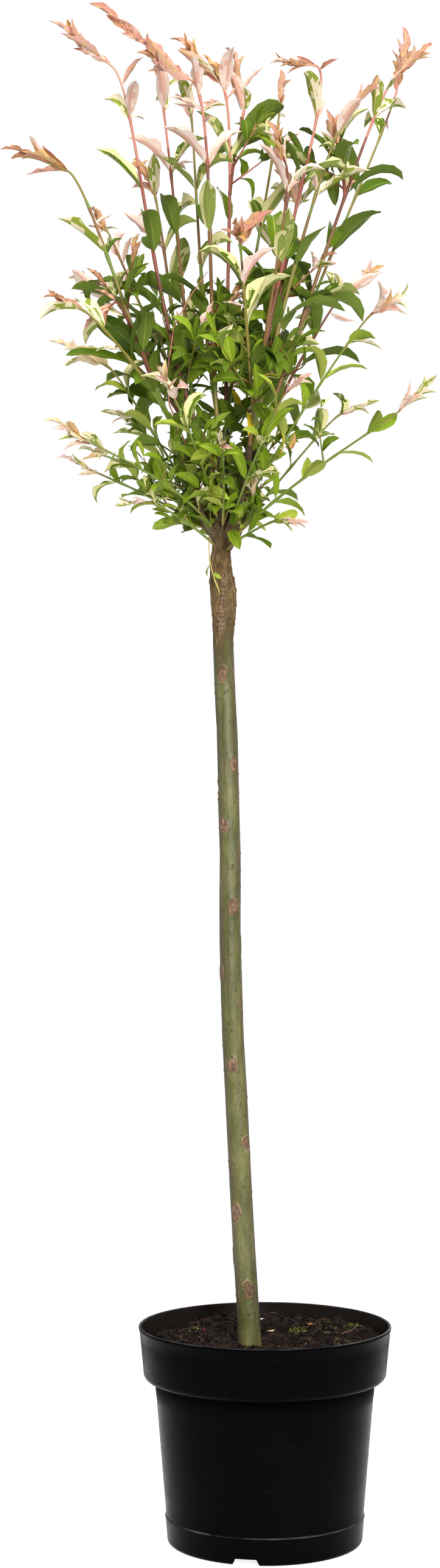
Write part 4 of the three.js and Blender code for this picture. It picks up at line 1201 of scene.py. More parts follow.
def make_trunk():
    rounds, levels = 120, 600
    low = SOIL_HEIGHT - 6
    heights = np.linspace(low, TRUNK_TOP + 3, levels)
    turns = np.arange(rounds) * 2 * math.pi / rounds
    z, turn = np.meshgrid(heights, turns, indexing="ij")
    usual = np.array([trunk_radius(min(height, TRUNK_TOP)) for height in heights])[:, None]
    axis = np.array([trunk_axis(height)[:2] for height in heights])
    middle, bulge, half = GRAFT_BULGE
    graft = np.exp(-(((z - middle) / half) ** 2))
    facing = np.cos(turn - math.radians(GRAFT_FACE))
    radius = usual + graft * bulge * (facing - 0.15)
    masks = {name: np.zeros_like(z) for name in ("scar", "rim", "ring", "speck", "knit")}

    def offsets(height, degrees):
        """Distance round the bark and up it from a place, in millimetres."""
        around = np.angle(np.exp(1j * (turn - math.radians(degrees)))) * TRUNK_RADIUS
        return around, z - height

    # Scars: a corky face with a raised rim, a dark groove inside it and a pip in the middle
    for height, degrees, half_width, half_height in BUD_SCARS:
        around, above = offsets(height, degrees)
        about = np.arctan2(above, around)
        wobble = 1 + 0.1 * np.sin(3 * about + height) + 0.05 * np.sin(7 * about + 2 * height)
        far = np.hypot(around / half_width, above / half_height) / wobble
        inside = np.clip((0.98 - far) / 0.14, 0, 1)
        old = float(np.interp(height, (223, 771), (0.34, 0.0)))
        rim = (0.38 + 0.32 * np.sin(2 * about + 1.7 * height)) * np.exp(-(((far - 1.03) / 0.09) ** 2))
        pip = np.hypot(around / 1.3, (above + 0.25 * half_height) / 1.8)
        masks["scar"] = np.maximum(masks["scar"], 0.92 * inside)
        masks["rim"] = np.maximum(masks["rim"], rim)
        groove = 0.65 * np.exp(-(((far - 0.86) / 0.06) ** 2))
        masks["ring"] = np.maximum(masks["ring"], groove + old * inside)
        masks["ring"] = np.maximum(masks["ring"], 0.7 * np.exp(-(((pip - 1) / 0.4) ** 2)))
        radius += 0.55 * np.exp(-(((far - 1.02) / 0.16) ** 2)) - 0.5 * np.clip(1 - far, 0, 1)
        radius += 0.9 * np.exp(-(pip ** 2)) + 0.14 * np.cos(far * 15) * np.clip(1 - far, 0, 1)
    # Lenticels, dark and faint ones by turns
    for number, (height, degrees, half_width, half_height, out) in enumerate(bark_specks()):
        around, above = offsets(height, degrees)
        spot = np.exp(-((around / half_width) ** 2 + (above / half_height) ** 2))
        radius += out * spot
        depth = (0.95, 0.5)[number % 2]
        masks["speck"] = np.maximum(masks["speck"], depth * np.clip(spot * 1.7 - 0.1, 0, 1))
    # Corky lips of the graft's seam
    for height, degrees, half_width, half_height in GRAFT_KNIT:
        around, above = offsets(height, degrees)
        far = np.hypot(around / half_width, above / half_height)
        masks["knit"] = np.maximum(masks["knit"], np.clip((1.1 - far) / 0.5, 0, 0.85))
        radius += 0.8 * np.exp(-(((far - 1) / 0.3) ** 2)) + 0.5 * np.exp(-((far / 0.6) ** 2))
    # Rough bark on the graft, dark bark on the head, and the loose edge
    start, over = ROUGH_BARK
    rough = np.clip((z - start + 8 * np.sin(3 * turn + 1)) / over, 0, 1)
    start, over = DARK_HEAD
    dark = 0.65 * np.clip((z - start) / over, 0, 1)
    height, degrees, half_width, half_height, out = BARK_FLAP
    around, above = offsets(height, degrees)
    torn_edge = np.array([noise.fractal(Vector((0.5, 0.5, level / 3.1)), 1.0, 2.1, 3) for level in heights])
    uneven = np.clip(0.85 + 0.5 * torn_edge[:, None], 0.2, 1.15)
    edge = np.clip((half_height - np.abs(above)) / 2, 0, 1) * uneven
    radius += out * edge * np.exp(-((around / half_width) ** 2))
    # Long shallow flutes, fine ripples and the knobs of the rough bark
    ripples = np.zeros_like(z)
    flutes = np.zeros_like(z)
    knobs = np.zeros_like(z)
    for i in range(levels):
        for j in range(rounds):
            x, y = math.cos(turn[i, j]), math.sin(turn[i, j])
            h = z[i, j]
            flutes[i, j] = noise.noise(Vector((x * 2.2, y * 2.2, h / 60)))
            ripples[i, j] = noise.noise(Vector((x * 5, y * 5, h / 9)))
            if rough[i, j] > 0:
                knobs[i, j] = noise.fractal(Vector((x * 3.6, y * 3.6, h / 13)), 0.85, 2.1, 4)
    radius += 0.35 * flutes + 0.12 * ripples + rough * (1.2 * np.abs(knobs) - 0.35)
    # Mask of the brown sides towards +X and -X: partly brown bark, partly painted shade on the trunk's edges
    # seen from the front
    tan = np.clip(np.abs(np.cos(turn)) ** 2.4 + 0.8 * flutes + 0.05, 0, 1)
    # The skin, closed by a low knob on top
    x = (axis[:, 0][:, None] + radius * np.cos(turn)) * MM
    y = (axis[:, 1][:, None] + radius * np.sin(turn)) * MM
    lift = z + np.where(z > TRUNK_TOP - 2, 1.4 * knobs, 0)
    points = np.stack([x, y, lift * MM], -1).reshape(-1, 3)
    faces = grid_faces(levels, rounds, True)
    top = len(points)
    crown = trunk_axis(TRUNK_TOP)
    points = np.vstack([points, [[crown.x * MM, crown.y * MM, (TRUNK_TOP + 4.5) * MM]]])
    last = (levels - 1) * rounds
    faces += [(last + j, last + (j + 1) % rounds, top) for j in range(rounds)]
    faces.append(tuple(reversed(range(rounds))))
    trunk = mesh_piece("bare_trunk", points, faces, stem_bark())
    for name, values in {**masks, "rough": rough, "tan": tan, "dark": dark}.items():
        give_attribute(trunk, name, np.append(values.reshape(-1), values[-1, 0]))
    finish_piece(trunk, "stem_bark", "trunk")


# The plant's rule


class Stem:
    """A stem's middle line with its radius at each point, in millimetres."""

    def __init__(self, points, thick, thin):
        self.points = [Vector(point) for point in points]
        self.runs = [0.0]
        for one, other in zip(self.points, self.points[1:]):
            self.runs.append(self.runs[-1] + (other - one).length)
        self.length = self.runs[-1]
        self.radii = [thick + (thin - thick) * run / self.length for run in self.runs]
        last = len(self.points) - 1
        self.tangents = []
        for i in range(last + 1):
            way = self.points[min(last, i + 1)] - self.points[max(0, i - 1)]
            self.tangents.append(way.normalized())

    def at(self, reach):
        i = 1
        while i < len(self.runs) - 1 and self.runs[i] < reach:
            i += 1
        share = (reach - self.runs[i - 1]) / (self.runs[i] - self.runs[i - 1])
        place = self.points[i - 1].lerp(self.points[i], share)
        return place, self.tangents[i - 1].lerp(self.tangents[i], share).normalized()


def bezier(a, b, c, d, steps):
    points = []
    for i in range(steps + 1):
        t = i / steps
        u = 1 - t
        points.append(a * u ** 3 + b * (3 * u * u * t) + c * (3 * u * t * t) + d * t ** 3)
    return points


def stalk_share(top, end):
    """How far the stem runs on from its last full leaves to its very tip."""
    return max(STALK_SHARE, 1 - LONGEST_TIP / max(1, (end - top).length))


def stem_points(foot, way, top, end, steps):
    nose = (end - top).normalized()
    far = (top - foot).length
    points = bezier(foot, foot + way * STEM_GRIP * far, top - nose * STEM_NOD * far, top, steps)
    stalk = [top.lerp(end, stalk_share(top, end) * share) for share in (0.33, 0.67, 1)]
    return points + stalk


def tip_rule(usual, top, end, **own):
    """A stem's rule with the run of its tuft and the length of its last leaf."""
    share = stalk_share(top, end)
    far = (end - top).length
    return dict(usual, stalk=share * far, tip=(1 - share) * far, **own)


ROLL_MARK = Vector((0.35, 0.8, -0.5)).normalized()


class Leaf:
    """One leaf of the rule: its root, its frame, its size, its place on its stem."""

    def __init__(self, stem, reach, turn, lift, roll, length, width, rise, sort="paired", up=0.0):
        place, way = stem.at(reach)
        out = across(ROLL_MARK, way)
        out.rotate(Matrix.Rotation(math.radians(turn), 3, way))
        off = math.radians(lift)
        along = (way * math.cos(off) + out * math.sin(off) + UP * rise).normalized()
        face = way * math.sin(off) - out * math.cos(off) + UP * LEAF_LIGHT
        face = across(face, along)
        face.rotate(Matrix.Rotation(math.radians(roll), 3, along))
        self.root, self.along, self.face = place, along, face
        self.side = face.cross(along)
        self.length, self.width = length, width
        self.reach, self.turn = reach, turn
        self.sort, self.up = sort, up
        self.stem = stem


def leaf_breadth(length):
    """Short leaves are rounder: width over length."""
    return float(np.interp(length, (18, 34, 50), (0.6, 0.43, 0.335)))


def paired_leaves(stem, rule, draw):
    leaves = []
    last = stem.length - rule["stalk"]
    reach, turn = rule["first"], rule["turn"]
    while reach < last:
        up = reach / last
        swell = 0.82 + 0.3 * math.sin(math.pi * min(1, up * 1.15))
        for side in (0, 1):
            length = rule["leaf"] * swell * (1 + luck(draw, 0.12))
            width = length * (leaf_breadth(length) - 0.09 * up) * (1 + luck(draw, 0.1))
            lift = 56 - 22 * up + luck(draw, 8)
            roll = luck(draw, 35)
            around = turn + 180 * side + luck(draw, 12)
            start = reach + PAIR_STEP * side
            leaves.append(Leaf(stem, start, around, lift, roll, length, width, LEAF_RISE, "paired", up))
        turn += 90 + luck(draw, 18)
        reach += rule["gap"] * (1 + luck(draw, 0.15))
    return leaves


def tuft_leaves(stem, rule, draw):
    tip = max(SHORTEST_TIP, rule["tip"])
    leaves = [Leaf(stem, stem.length, rule["turn"], 0, 0, tip, tip * TUFT_BREADTH, 0, "tuft", 1)]
    for i in range(rule["tuft"]):
        up = i / rule["tuft"]
        length = tip * (1.15 - 0.15 * up) * (1 + luck(draw, 0.1))
        lift = rule["flare"] * (1 - up / 2) * (1 + luck(draw, 0.2))
        roll = luck(draw, 40)
        reach = stem.length - rule["stalk"] * (1 - up)
        turn = rule["turn"] + SPIRAL_TURN * i
        leaves.append(Leaf(stem, reach, turn, lift, roll, length, length * TUFT_BREADTH, 0, "tuft", up))
    return leaves


class Growth:
    """One wand group or shoot: its solid's name, stems, leaves, (stem, rule, tuft) tips and small leaves."""

    def __init__(self, node):
        self.node = node
        self.stems = []
        self.leaves = []
        self.tips = []
        self.small = []


def grow_twig(growth, stem, leaf, draw):
    foot = stem.at(leaf.reach)[0]
    way = (leaf.along + UP * LEAF_LIGHT).normalized()
    top = foot + way * TWIG_LENGTH * (1 + luck(draw, 0.35))
    end = top + way * 2 * TWIG_STALK
    twig = Stem(stem_points(foot, way, top, end, 4), *TWIG_RADII)
    rule = tip_rule(TWIG_RULE, top, end, turn=leaf.turn)
    growth.stems.append(twig)
    growth.leaves += paired_leaves(twig, rule, draw)
    growth.tips.append((twig, rule, tuft_leaves(twig, rule, draw)))


def grow_stem(growth, stem, rule, draw):
    leaves = paired_leaves(stem, rule, draw)
    growth.stems.append(stem)
    growth.leaves += leaves
    growth.tips.append((stem, rule, tuft_leaves(stem, rule, draw)))
    for leaf in leaves:
        wanted = draw() < rule["twigs"]
        if wanted and stem.at(leaf.reach)[0].z < rule["twigs_below"]:
            grow_twig(growth, stem, leaf, draw)


def turn_to(start, finish):
    return math.degrees(math.atan2(finish.y - start.y, finish.x - start.x))


def trunk_seat(turn, height):
    """A place just under the bark, nearer to the axis on the head."""
    out = trunk_radius(height) - SEAT_DEPTH
    if height > NECK[0] + NECK[2]:
        out = min(out, HEAD_REACH)
    return trunk_axis(height) + heading(turn, 90) * out


def lay_out_crown():
    """Every bough with its name, and every growth, in the order of the plant's rule."""
    boughs, growths = [], []
    for index, (name, (turn, height, lean), tip, wands) in enumerate(BOUGHS):
        draw = own_draw(WAND_DRAWS, index)
        tip, seat = Vector(tip), trunk_seat(turn, height)
        onward = heading(turn_to(tip, Vector(wands[0]["top"])), wands[0]["lean"])
        grip = BOUGH_GRIP * (tip - seat).length
        points = bezier(seat, seat + heading(turn, lean) * grip, tip - onward * grip, tip, 40)
        boughs.append((name, Stem(points, *BOUGH_RADII)))
        growth = Growth(f"foliage_{name}")
        for wand in wands:
            top, end = Vector(wand["top"]), Vector(wand["end"])
            foot = tip + onward * CLEARANCE
            if "fork" in wand:
                foot = growth.stems[0].at(wand["fork"])[0]
            way = heading(turn_to(foot, top), wand["lean"])
            steps = max(3, round((top - foot).length / WAND_PACE))
            radii = FORK_RADII if "fork" in wand else WAND_RADII
            stem = Stem(stem_points(foot, way, top, end, steps), *radii)
            rule = tip_rule({**WAND_RULE, **wand}, top, end)
            grow_stem(growth, stem, rule, draw)
        growths.append(growth)
    for index, (name, (turn, height, lean), top, end) in enumerate(SHOOTS):
        draw = own_draw(SHOOT_DRAWS, index)
        top, end = Vector(top), Vector(end)
        foot = trunk_seat(turn, min(HIGHEST_SEAT, height + SHOOT_LIFT))
        steps = max(6, round((top - foot).length / WAND_PACE))
        stem = Stem(stem_points(foot, heading(turn, lean - SHOOT_RISE), top, end, steps), *SHOOT_RADII)
        growth = Growth(f"shoot_{name}")
        rule = tip_rule(SHOOT_RULE, top, end, turn=40 * index)
        grow_stem(growth, stem, rule, draw)
        growths.append(growth)
    return boughs, growths


# Leaf shapes


STALK_RUN = 0.07  # share of a leaf's length that is its stalk
PLAIN_COLUMNS = (-1, -0.5, -0.05, 0.05, 0.5, 1)
TENDER_COLUMNS = (-1, -0.7, -0.36, -0.05, 0.05, 0.36, 0.7, 1)
STREAKED_COLUMNS = (-1, -0.76, -0.5, -0.28, -0.05, 0.05, 0.28, 0.5, 0.76, 1)
UNDER_COLUMNS = (-1, -0.5, -0.05, 0.05, 0.5, 1)
BLADE_THICK = 0.022
RAGGED = 0.6  # how far a streak's corners lie off their row, in rows
BEND_START = 0.3  # share of its length from which a leaf bends back
USUAL_SLIMNESS = 2.8  # length over width of a usual leaf


def streak_map(seed, rows, columns, streaks, margin):
    """Which faces of a blade are pale: streaks along the veins, more of them to the margin."""
    draw = seeded(seed + 3)
    pale_side = 1 if draw() < 0.5 else -1
    pale = set()
    for i in range(rows):
        for j in range(len(columns) - 1):
            middle = (columns[j] + columns[j + 1]) / 2
            value = noise.noise(Vector((i * 0.38 + seed * 1.3, middle * 3.1, seed * 0.37)))
            lean = margin * (abs(middle) - 0.45) * (1.5 if middle * pale_side > 0 else 0.5)
            if 0.5 + 0.75 * value + lean + luck(draw, 0.16) > 1 - streaks and middle != 0:
                pale.add((i, j))
    return pale


def leaf_shape(name, seed, rows, columns, belly, fill, taper, fold, arch, bend, wave, waves, curl, twist,
               veins, streaks=0.0, margin=0.0):
    """A closed blade one unit long and one wide, in heights of one width. Tone 0 is the
    blade, 1 the midrib, 2 the underside and 3 the streaks."""
    draw = seeded(seed)
    phase = 6.3 * draw()
    lean = luck(draw, 0.5)
    stretch = math.log(0.5) / math.log(belly)
    shares = [i / (rows - 1) for i in range(rows)]
    runs = [0] + [STALK_RUN + (1 - STALK_RUN) * (t + 0.5 - 0.5 * math.cos(math.pi * t)) / 2 for t in shares]
    steps = np.linspace(0, 1, 81)
    tilts = bend * np.clip((steps - BEND_START) / (1 - BEND_START), 0, 1) ** 1.4
    aheads = np.append(0, np.cumsum(np.cos(tilts[1:]))) / 80
    drops = np.append(0, np.cumsum(np.sin(tilts[1:]))) / 80 * USUAL_SLIMNESS

    def spot(run, column, drop):
        """A point of the blade, by its share of the length and of the half width, and how far below."""
        blade = max(0, (run - STALK_RUN) / (1 - STALK_RUN))
        share = blade ** stretch
        half = 0.5 * max(0.0, math.sin(math.pi * share)) ** (fill + (taper - fill) * share)
        half = max(half, 0.03 if run < 0.9 else 0.006)
        ahead, fall, tilt = (float(np.interp(run, steps, values)) for values in (aheads, drops, tilts))
        edge = abs(column)
        # The waves of the two margins are out of step
        crinkle = math.sin(blade * waves + phase + 1.9 * (column > 0))
        x = ahead + veins * edge * half * blade * (1 - blade)
        y = column * half * (1 - 0.06 * wave * edge * crinkle) * math.cos(curl * edge * 0.9)
        z = fold * edge * half + curl * 0.8 * edge ** 2 * half + wave * crinkle * edge ** 2 * half - drop
        turn = twist * blade
        y, z = y * math.cos(turn) - z * math.sin(turn), y * math.sin(turn) + z * math.cos(turn)
        x += z * math.sin(tilt) / USUAL_SLIMNESS
        z = z * math.cos(tilt) - fall + arch * (0.6 * run - run ** 2)
        return x, y + lean * blade ** 2, z

    def corners(columns):
        """Places on the blade. A streaked blade's inner ones lie off their rows."""
        places = []
        for i, run in enumerate(runs):
            for column in columns:
                edge = abs(column)
                if streaks and 0 < i < rows and 0.1 < edge < 1:
                    jog = seeded(seed + 97 * i + round(50 * column))
                    ahead = luck(jog, RAGGED * (1.1 - edge)) * (runs[i + 1] - run)
                    places.append((run + ahead, column + luck(jog, 0.08)))
                else:
                    places.append((run, column))
        return places

    wide, under = len(columns), len(UNDER_COLUMNS)
    tops, lows = corners(columns), corners(UNDER_COLUMNS)
    points = [spot(*place, 0) for place in tops]
    offset = len(points)
    points += [spot(*place, BLADE_THICK) for place in lows]
    pale = streak_map(seed, rows, columns, streaks, margin) if streaks else ()
    faces, tones = [], []
    for i in range(rows):
        for j in range(wide - 1):
            a = i * wide + j
            faces.append((a, a + wide, a + wide + 1, a + 1))
            tones.append(1 if j == wide // 2 - 1 else 3 if (i, j) in pale else 0)
        for j in range(under - 1):
            a = offset + i * under + j
            above = bisect.bisect(columns, (UNDER_COLUMNS[j] + UNDER_COLUMNS[j + 1]) / 2) - 1
            faces.append((a, a + 1, a + under + 1, a + under))
            tones.append(1 if j == under // 2 - 1 else 3 if (i, above) in pale else 2)
    flat_faces = len(faces)
    for i in range(rows):
        for a, b in ((0, 0), (wide - 1, under - 1)):
            a, b = i * wide + a, offset + i * under + b
            faces.append((a, b, b + under, a + wide))
            tones.append(0)
    for i in (0, rows):
        top = [i * wide + j for j in range(wide)]
        low = [offset + i * under + j for j in range(under)]
        faces.append(tuple(top + low[::-1]))
        tones.append(1)
    data = bpy.data.meshes.new(name)
    data.from_pydata(points, [], faces)
    layer = data.attributes.new("tone", "FLOAT", "FACE")
    layer.data.foreach_set("value", np.asarray(tones, np.float32))
    map_of_blade = [(run, abs(column), 0) for run, column in tops + lows]
    layer = data.attributes.new("blade_map", "FLOAT_VECTOR", "POINT")
    layer.data.foreach_set("vector", np.asarray(map_of_blade, np.float32).reshape(-1))
    shape = bmesh.new()
    shape.from_mesh(data)
    bmesh.ops.recalc_face_normals(shape, faces=shape.faces)
    shape.faces.ensure_lookup_table()
    for face in shape.faces:
        face.smooth = True
    for face in shape.faces[flat_faces:]:
        for edge in face.edges:
            edge.smooth = False
    shape.to_mesh(data)
    shape.free()
    return data


def leaf_collection(name, count, rows, columns, arch_luck, streak_luck=0.0, **usual):
    shapes = bpy.data.collections.new(name)
    first, step = BLADE_SEEDS
    for index in range(count):
        draw = own_draw(FORM_DRAWS, index)
        own = dict(usual)
        for key, by in (("fold", 0.5), ("wave", 0.5), ("curl", 0.6), ("bend", 0.9)):
            own[key] *= 1 + luck(draw, by)
        own["arch"] += luck(draw, arch_luck)
        own["twist"] = luck(draw, usual["twist"])
        own["streaks"] = usual.get("streaks", 0) + luck(draw, streak_luck)
        data = leaf_shape(f"{name}_{index}", first + step * index, rows, columns, **own)
        shapes.objects.link(bpy.data.objects.new(f"{name}_{index}", data))
    return shapes


# How many of each leaf shape there are, and their forms
LEAF_FORMS = {
    "mature": (12, dict(
        rows=8, columns=PLAIN_COLUMNS, belly=0.5, fill=0.54, taper=0.64, fold=0.34,
        arch=0.5, bend=1.25, arch_luck=0.5, wave=0.12, waves=10, curl=0.14, twist=0.6, veins=0.3,
    )),
    "broad": (8, dict(
        rows=6, columns=PLAIN_COLUMNS, belly=0.5, fill=0.52, taper=0.66, fold=0.34,
        arch=0.4, bend=0.7, arch_luck=0.5, wave=0.14, waves=9, curl=0.16, twist=0.6, veins=0.3,
    )),
    "dappled": (10, dict(
        rows=10, columns=STREAKED_COLUMNS, belly=0.44, fill=0.64, taper=0.9, fold=0.5,
        arch=0.5, bend=0.9, arch_luck=0.6, wave=0.2, waves=12, curl=0.3, twist=0.8, veins=0.7,
        streaks=0.46, streak_luck=0.14, margin=0.8,
    )),
    "creamy": (8, dict(
        rows=10, columns=STREAKED_COLUMNS, belly=0.44, fill=0.7, taper=0.95, fold=0.5,
        arch=0.5, bend=0.7, arch_luck=0.8, wave=0.26, waves=13, curl=0.35, twist=0.9, veins=0.7,
        streaks=0.36, streak_luck=0.16, margin=-0.8,
    )),
    "tender": (10, dict(
        rows=13, columns=TENDER_COLUMNS, belly=0.42, fill=0.72, taper=1.0, fold=0.55,
        arch=0.4, bend=0.5, arch_luck=0.8, wave=0.34, waves=17, curl=0.4, twist=0.9, veins=0.4,
        streaks=0.42, streak_luck=0.14, margin=-0.9,
    )),
}


# Leaves by spray: kind, shapes and the tints of blade, midrib, underside and streaks
LEAF_KINDS = {
    "deep_green": ("mature", (62, 84, 16), (122, 138, 54), (84, 102, 38), (62, 84, 16)),
    "mid_green": ("mature", (80, 104, 20), (138, 154, 60), (98, 118, 44), (80, 104, 20)),
    "green": ("mature", (102, 126, 28), (152, 168, 70), (114, 134, 54), (102, 126, 28)),
    "inner_green": ("broad", (92, 116, 24), (140, 156, 58), (110, 128, 46), (92, 116, 24)),
    "bright_green": ("broad", (128, 154, 36), (170, 184, 80), (140, 160, 58), (128, 154, 36)),
    "light_green": ("broad", (164, 178, 62), (198, 204, 104), (168, 178, 82), (164, 178, 62)),
    "dappled": ("dappled", (80, 106, 16), (152, 166, 70), (146, 158, 80), (226, 220, 158)),
    "dappled_cream": ("creamy", (238, 226, 194), (204, 196, 132), (232, 216, 186), (142, 156, 60)),
    "blush": ("tender", (236, 206, 190), (208, 154, 134), (238, 214, 200), (228, 180, 162)),
    "cream": ("tender", (232, 212, 172), (208, 180, 130), (232, 214, 182), (220, 194, 146)),
    "pink": ("tender", (206, 148, 130), (184, 116, 100), (214, 168, 150), (216, 176, 130)),
    "bronze": ("tender", (188, 130, 100), (166, 100, 74), (202, 150, 122), (200, 156, 100)),
    "ochre": ("tender", (200, 158, 104), (182, 122, 80), (212, 174, 128), (206, 166, 92)),
    "yellow": ("broad", (222, 194, 44), (206, 170, 46), (218, 198, 80), (124, 76, 34)),
}
THREAD_KINDS = (("blush", 5), ("dappled_cream", 2), ("pink", 3))


def deal(draw, shares):
    """One name out of (name, share) pairs by luck."""
    chance = draw() * sum(share for _, share in shares)
    for name, share in shares:
        chance -= share
        if chance < 0:
            return name
    return shares[-1][0]


# Kinds by age along a stem: from which share of it, and how often each kind comes
WAND_AGES = [
    (0.88, (("pink", 3), ("blush", 5), ("dappled_cream", 3))),
    (0.70, (("dappled_cream", 5), ("blush", 4), ("dappled", 4))),
    (0.52, (("dappled", 6), ("dappled_cream", 1), ("green", 2), ("mid_green", 4))),
    (0.30, (("green", 4), ("mid_green", 5), ("deep_green", 2), ("dappled", 2))),
    (0.0, (("deep_green", 3), ("mid_green", 5), ("inner_green", 4), ("green", 2), ("bright_green", 1))),
]
SHOOT_AGES = [
    (0.86, (("dappled_cream", 5), ("blush", 2), ("dappled", 3))),
    (0.55, (("dappled", 5), ("bright_green", 3), ("light_green", 2))),
    (0.0, (("bright_green", 5), ("inner_green", 3), ("light_green", 2), ("dappled", 1))),
]
WAND_TIPS = (("bronze", 4), ("pink", 5), ("ochre", 3), ("blush", 1))
SHOOT_TIPS = (("cream", 4), ("dappled_cream", 5), ("ochre", 2), ("blush", 3))
LOW_SMALL_LEAVES = (
    ("bright_green", 42), ("inner_green", 24), ("light_green", 20), ("dappled", 13), ("yellow", 1),
)
SMALL_LEAVES = (
    ("bright_green", 16), ("inner_green", 34), ("green", 24), ("mid_green", 16), ("light_green", 4),
    ("dappled", 5), ("yellow", 1),
)


def choose_kind(leaf, draw, low_shoot):
    """Colour by the age of the leaf: green low, dappled, cream, blush, pink and bronze tips."""
    if leaf.sort == "thread":
        return deal(draw, THREAD_KINDS)
    if leaf.sort == "tuft":
        return deal(draw, SHOOT_TIPS if low_shoot else WAND_TIPS)
    ages = SHOOT_AGES if low_shoot else WAND_AGES
    return next(deal(draw, shares) for start, shares in ages if leaf.up >= start)


# Leaves that the solids leave out: how often axils carry them, under and over a height
AXIL_SHARES = (1000, 0.12, 0.1)
SHORTEST_TUFT = 16
# Stalk's length for each further leaf of a tuft, and for each thread leaf under it
TUFT_PACE = 12
THREAD_PACE = 17
THREADS_FROM = 1060
THREAD_SAG = -0.2


def extra_leaves(growth, index):
    """Finer growth that the rule's solids leave out: axil leaves, fuller tufts, young threads."""
    draw = own_draw(FINER_DRAWS, index)
    change, low_share, high_share = AXIL_SHARES
    finer = []
    for leaf in growth.leaves:
        wanted = low_share if leaf.root.z < change else high_share
        if draw() < wanted:
            for side in (-1, 1):
                length = leaf.length * (0.36 + 0.3 * draw())
                reach = min(leaf.stem.length, leaf.reach + 2)
                turn = leaf.turn + side * (24 + 30 * draw())
                lift, roll = 34 + 26 * draw(), luck(draw, 60)
                size = (length, length * (0.3 + 0.1 * draw()))
                finer.append(Leaf(leaf.stem, reach, turn, lift, roll, *size, LEAF_RISE, "paired", leaf.up))
    tufts = []
    for stem, rule, tips in growth.tips:
        stalk, tip = rule["stalk"], max(SHORTEST_TUFT, rule["tip"])
        leaves = list(tips)
        extra = 2 + round(stalk / TUFT_PACE)
        for i in range(extra):
            up = i / extra
            length = tip * (1.25 - 0.4 * up) * (1 + luck(draw, 0.15))
            close = draw() < 0.8
            lift = 4 + 8 * draw() if close else 26 + 22 * draw()
            width = length * (0.2 + 0.08 * draw() if close else 0.13 + 0.05 * draw())
            reach = max(1, stem.length - stalk * (1.12 - 1.05 * up))
            turn, roll = SPIRAL_TURN * i + 40 * draw(), luck(draw, 90)
            sort = "tuft" if close else "thread"
            leaves.append(Leaf(stem, reach, turn, lift, roll, length, width, 0, sort, 1))
        for _ in range(round(stalk / THREAD_PACE) if stem.points[-1].z > THREADS_FROM else 0):
            back = stalk * 1.2 + 60 * draw()
            length = 20 + 14 * draw()
            reach = max(1, stem.length - back)
            turn, lift, roll = 360 * draw(), 40 + 50 * draw(), luck(draw, 90)
            width = length * (0.13 + 0.06 * draw())
            finer.append(Leaf(stem, reach, turn, lift, roll, length, width, THREAD_SAG, "thread", 1))
        tufts.append(leaves)
    return finer, tufts


def crown_room(place):
    """True inside the low bushy part of the crown, which widens from the trunk's head."""
    away = math.hypot(place.x - CROWN_MIDDLE[0], place.y - CROWN_MIDDLE[1])
    above = place.z - CROWN_LOW
    return above > 0 and away < CROWN_FOOT + CROWN_SPREAD * above and away < CROWN_WIDE


def grow_inner_twigs(growth, carriers, draw):
    """Short twigs of small leaves off the lowest part of boughs, wands and shoots."""
    for carrier, count, first, last in carriers:
        for _ in range(count):
            foot, way = carrier.at(carrier.length * (first + (last - first) * draw()))
            out = across(ROLL_MARK, way)
            out.rotate(Matrix.Rotation(math.radians(360 * draw()), 3, way))
            lean = math.radians(34 + 40 * draw())
            way = (way * math.cos(lean) + out * math.sin(lean) + UP * 0.15).normalized()
            top = foot + way * (20 + 52 * draw())
            end = top + (way + UP * 0.4).normalized() * 12
            gap, size, turn = 17 + 9 * draw(), 20 + 14 * draw(), 360 * draw()
            rule = dict(TWIG_RULE, first=9, gap=gap, leaf=size, turn=turn, stalk=6, tip=18)
            if not crown_room(end):
                continue
            twig = Stem(stem_points(foot, way, top, end, 5), *INNER_TWIG_RADII)
            growth.stems.append(twig)
            growth.small += paired_leaves(twig, rule, draw)
            growth.small += tuft_leaves(twig, rule, draw)


# Share of the rule's leaves that have fallen, by height
DROPPED = (
    (880, 940, 1010, 1050, 1085, 1125, 1150, 1215, 1235, 1270, 1300),
    (0.06, 0.14, 0.1, 0.2, 0.38, 0.36, 0.18, 0.14, 0.3, 0.3, 0.0),
)
SMALL_BELOW = 965
LOW_LEAF_SIZE = 0.82


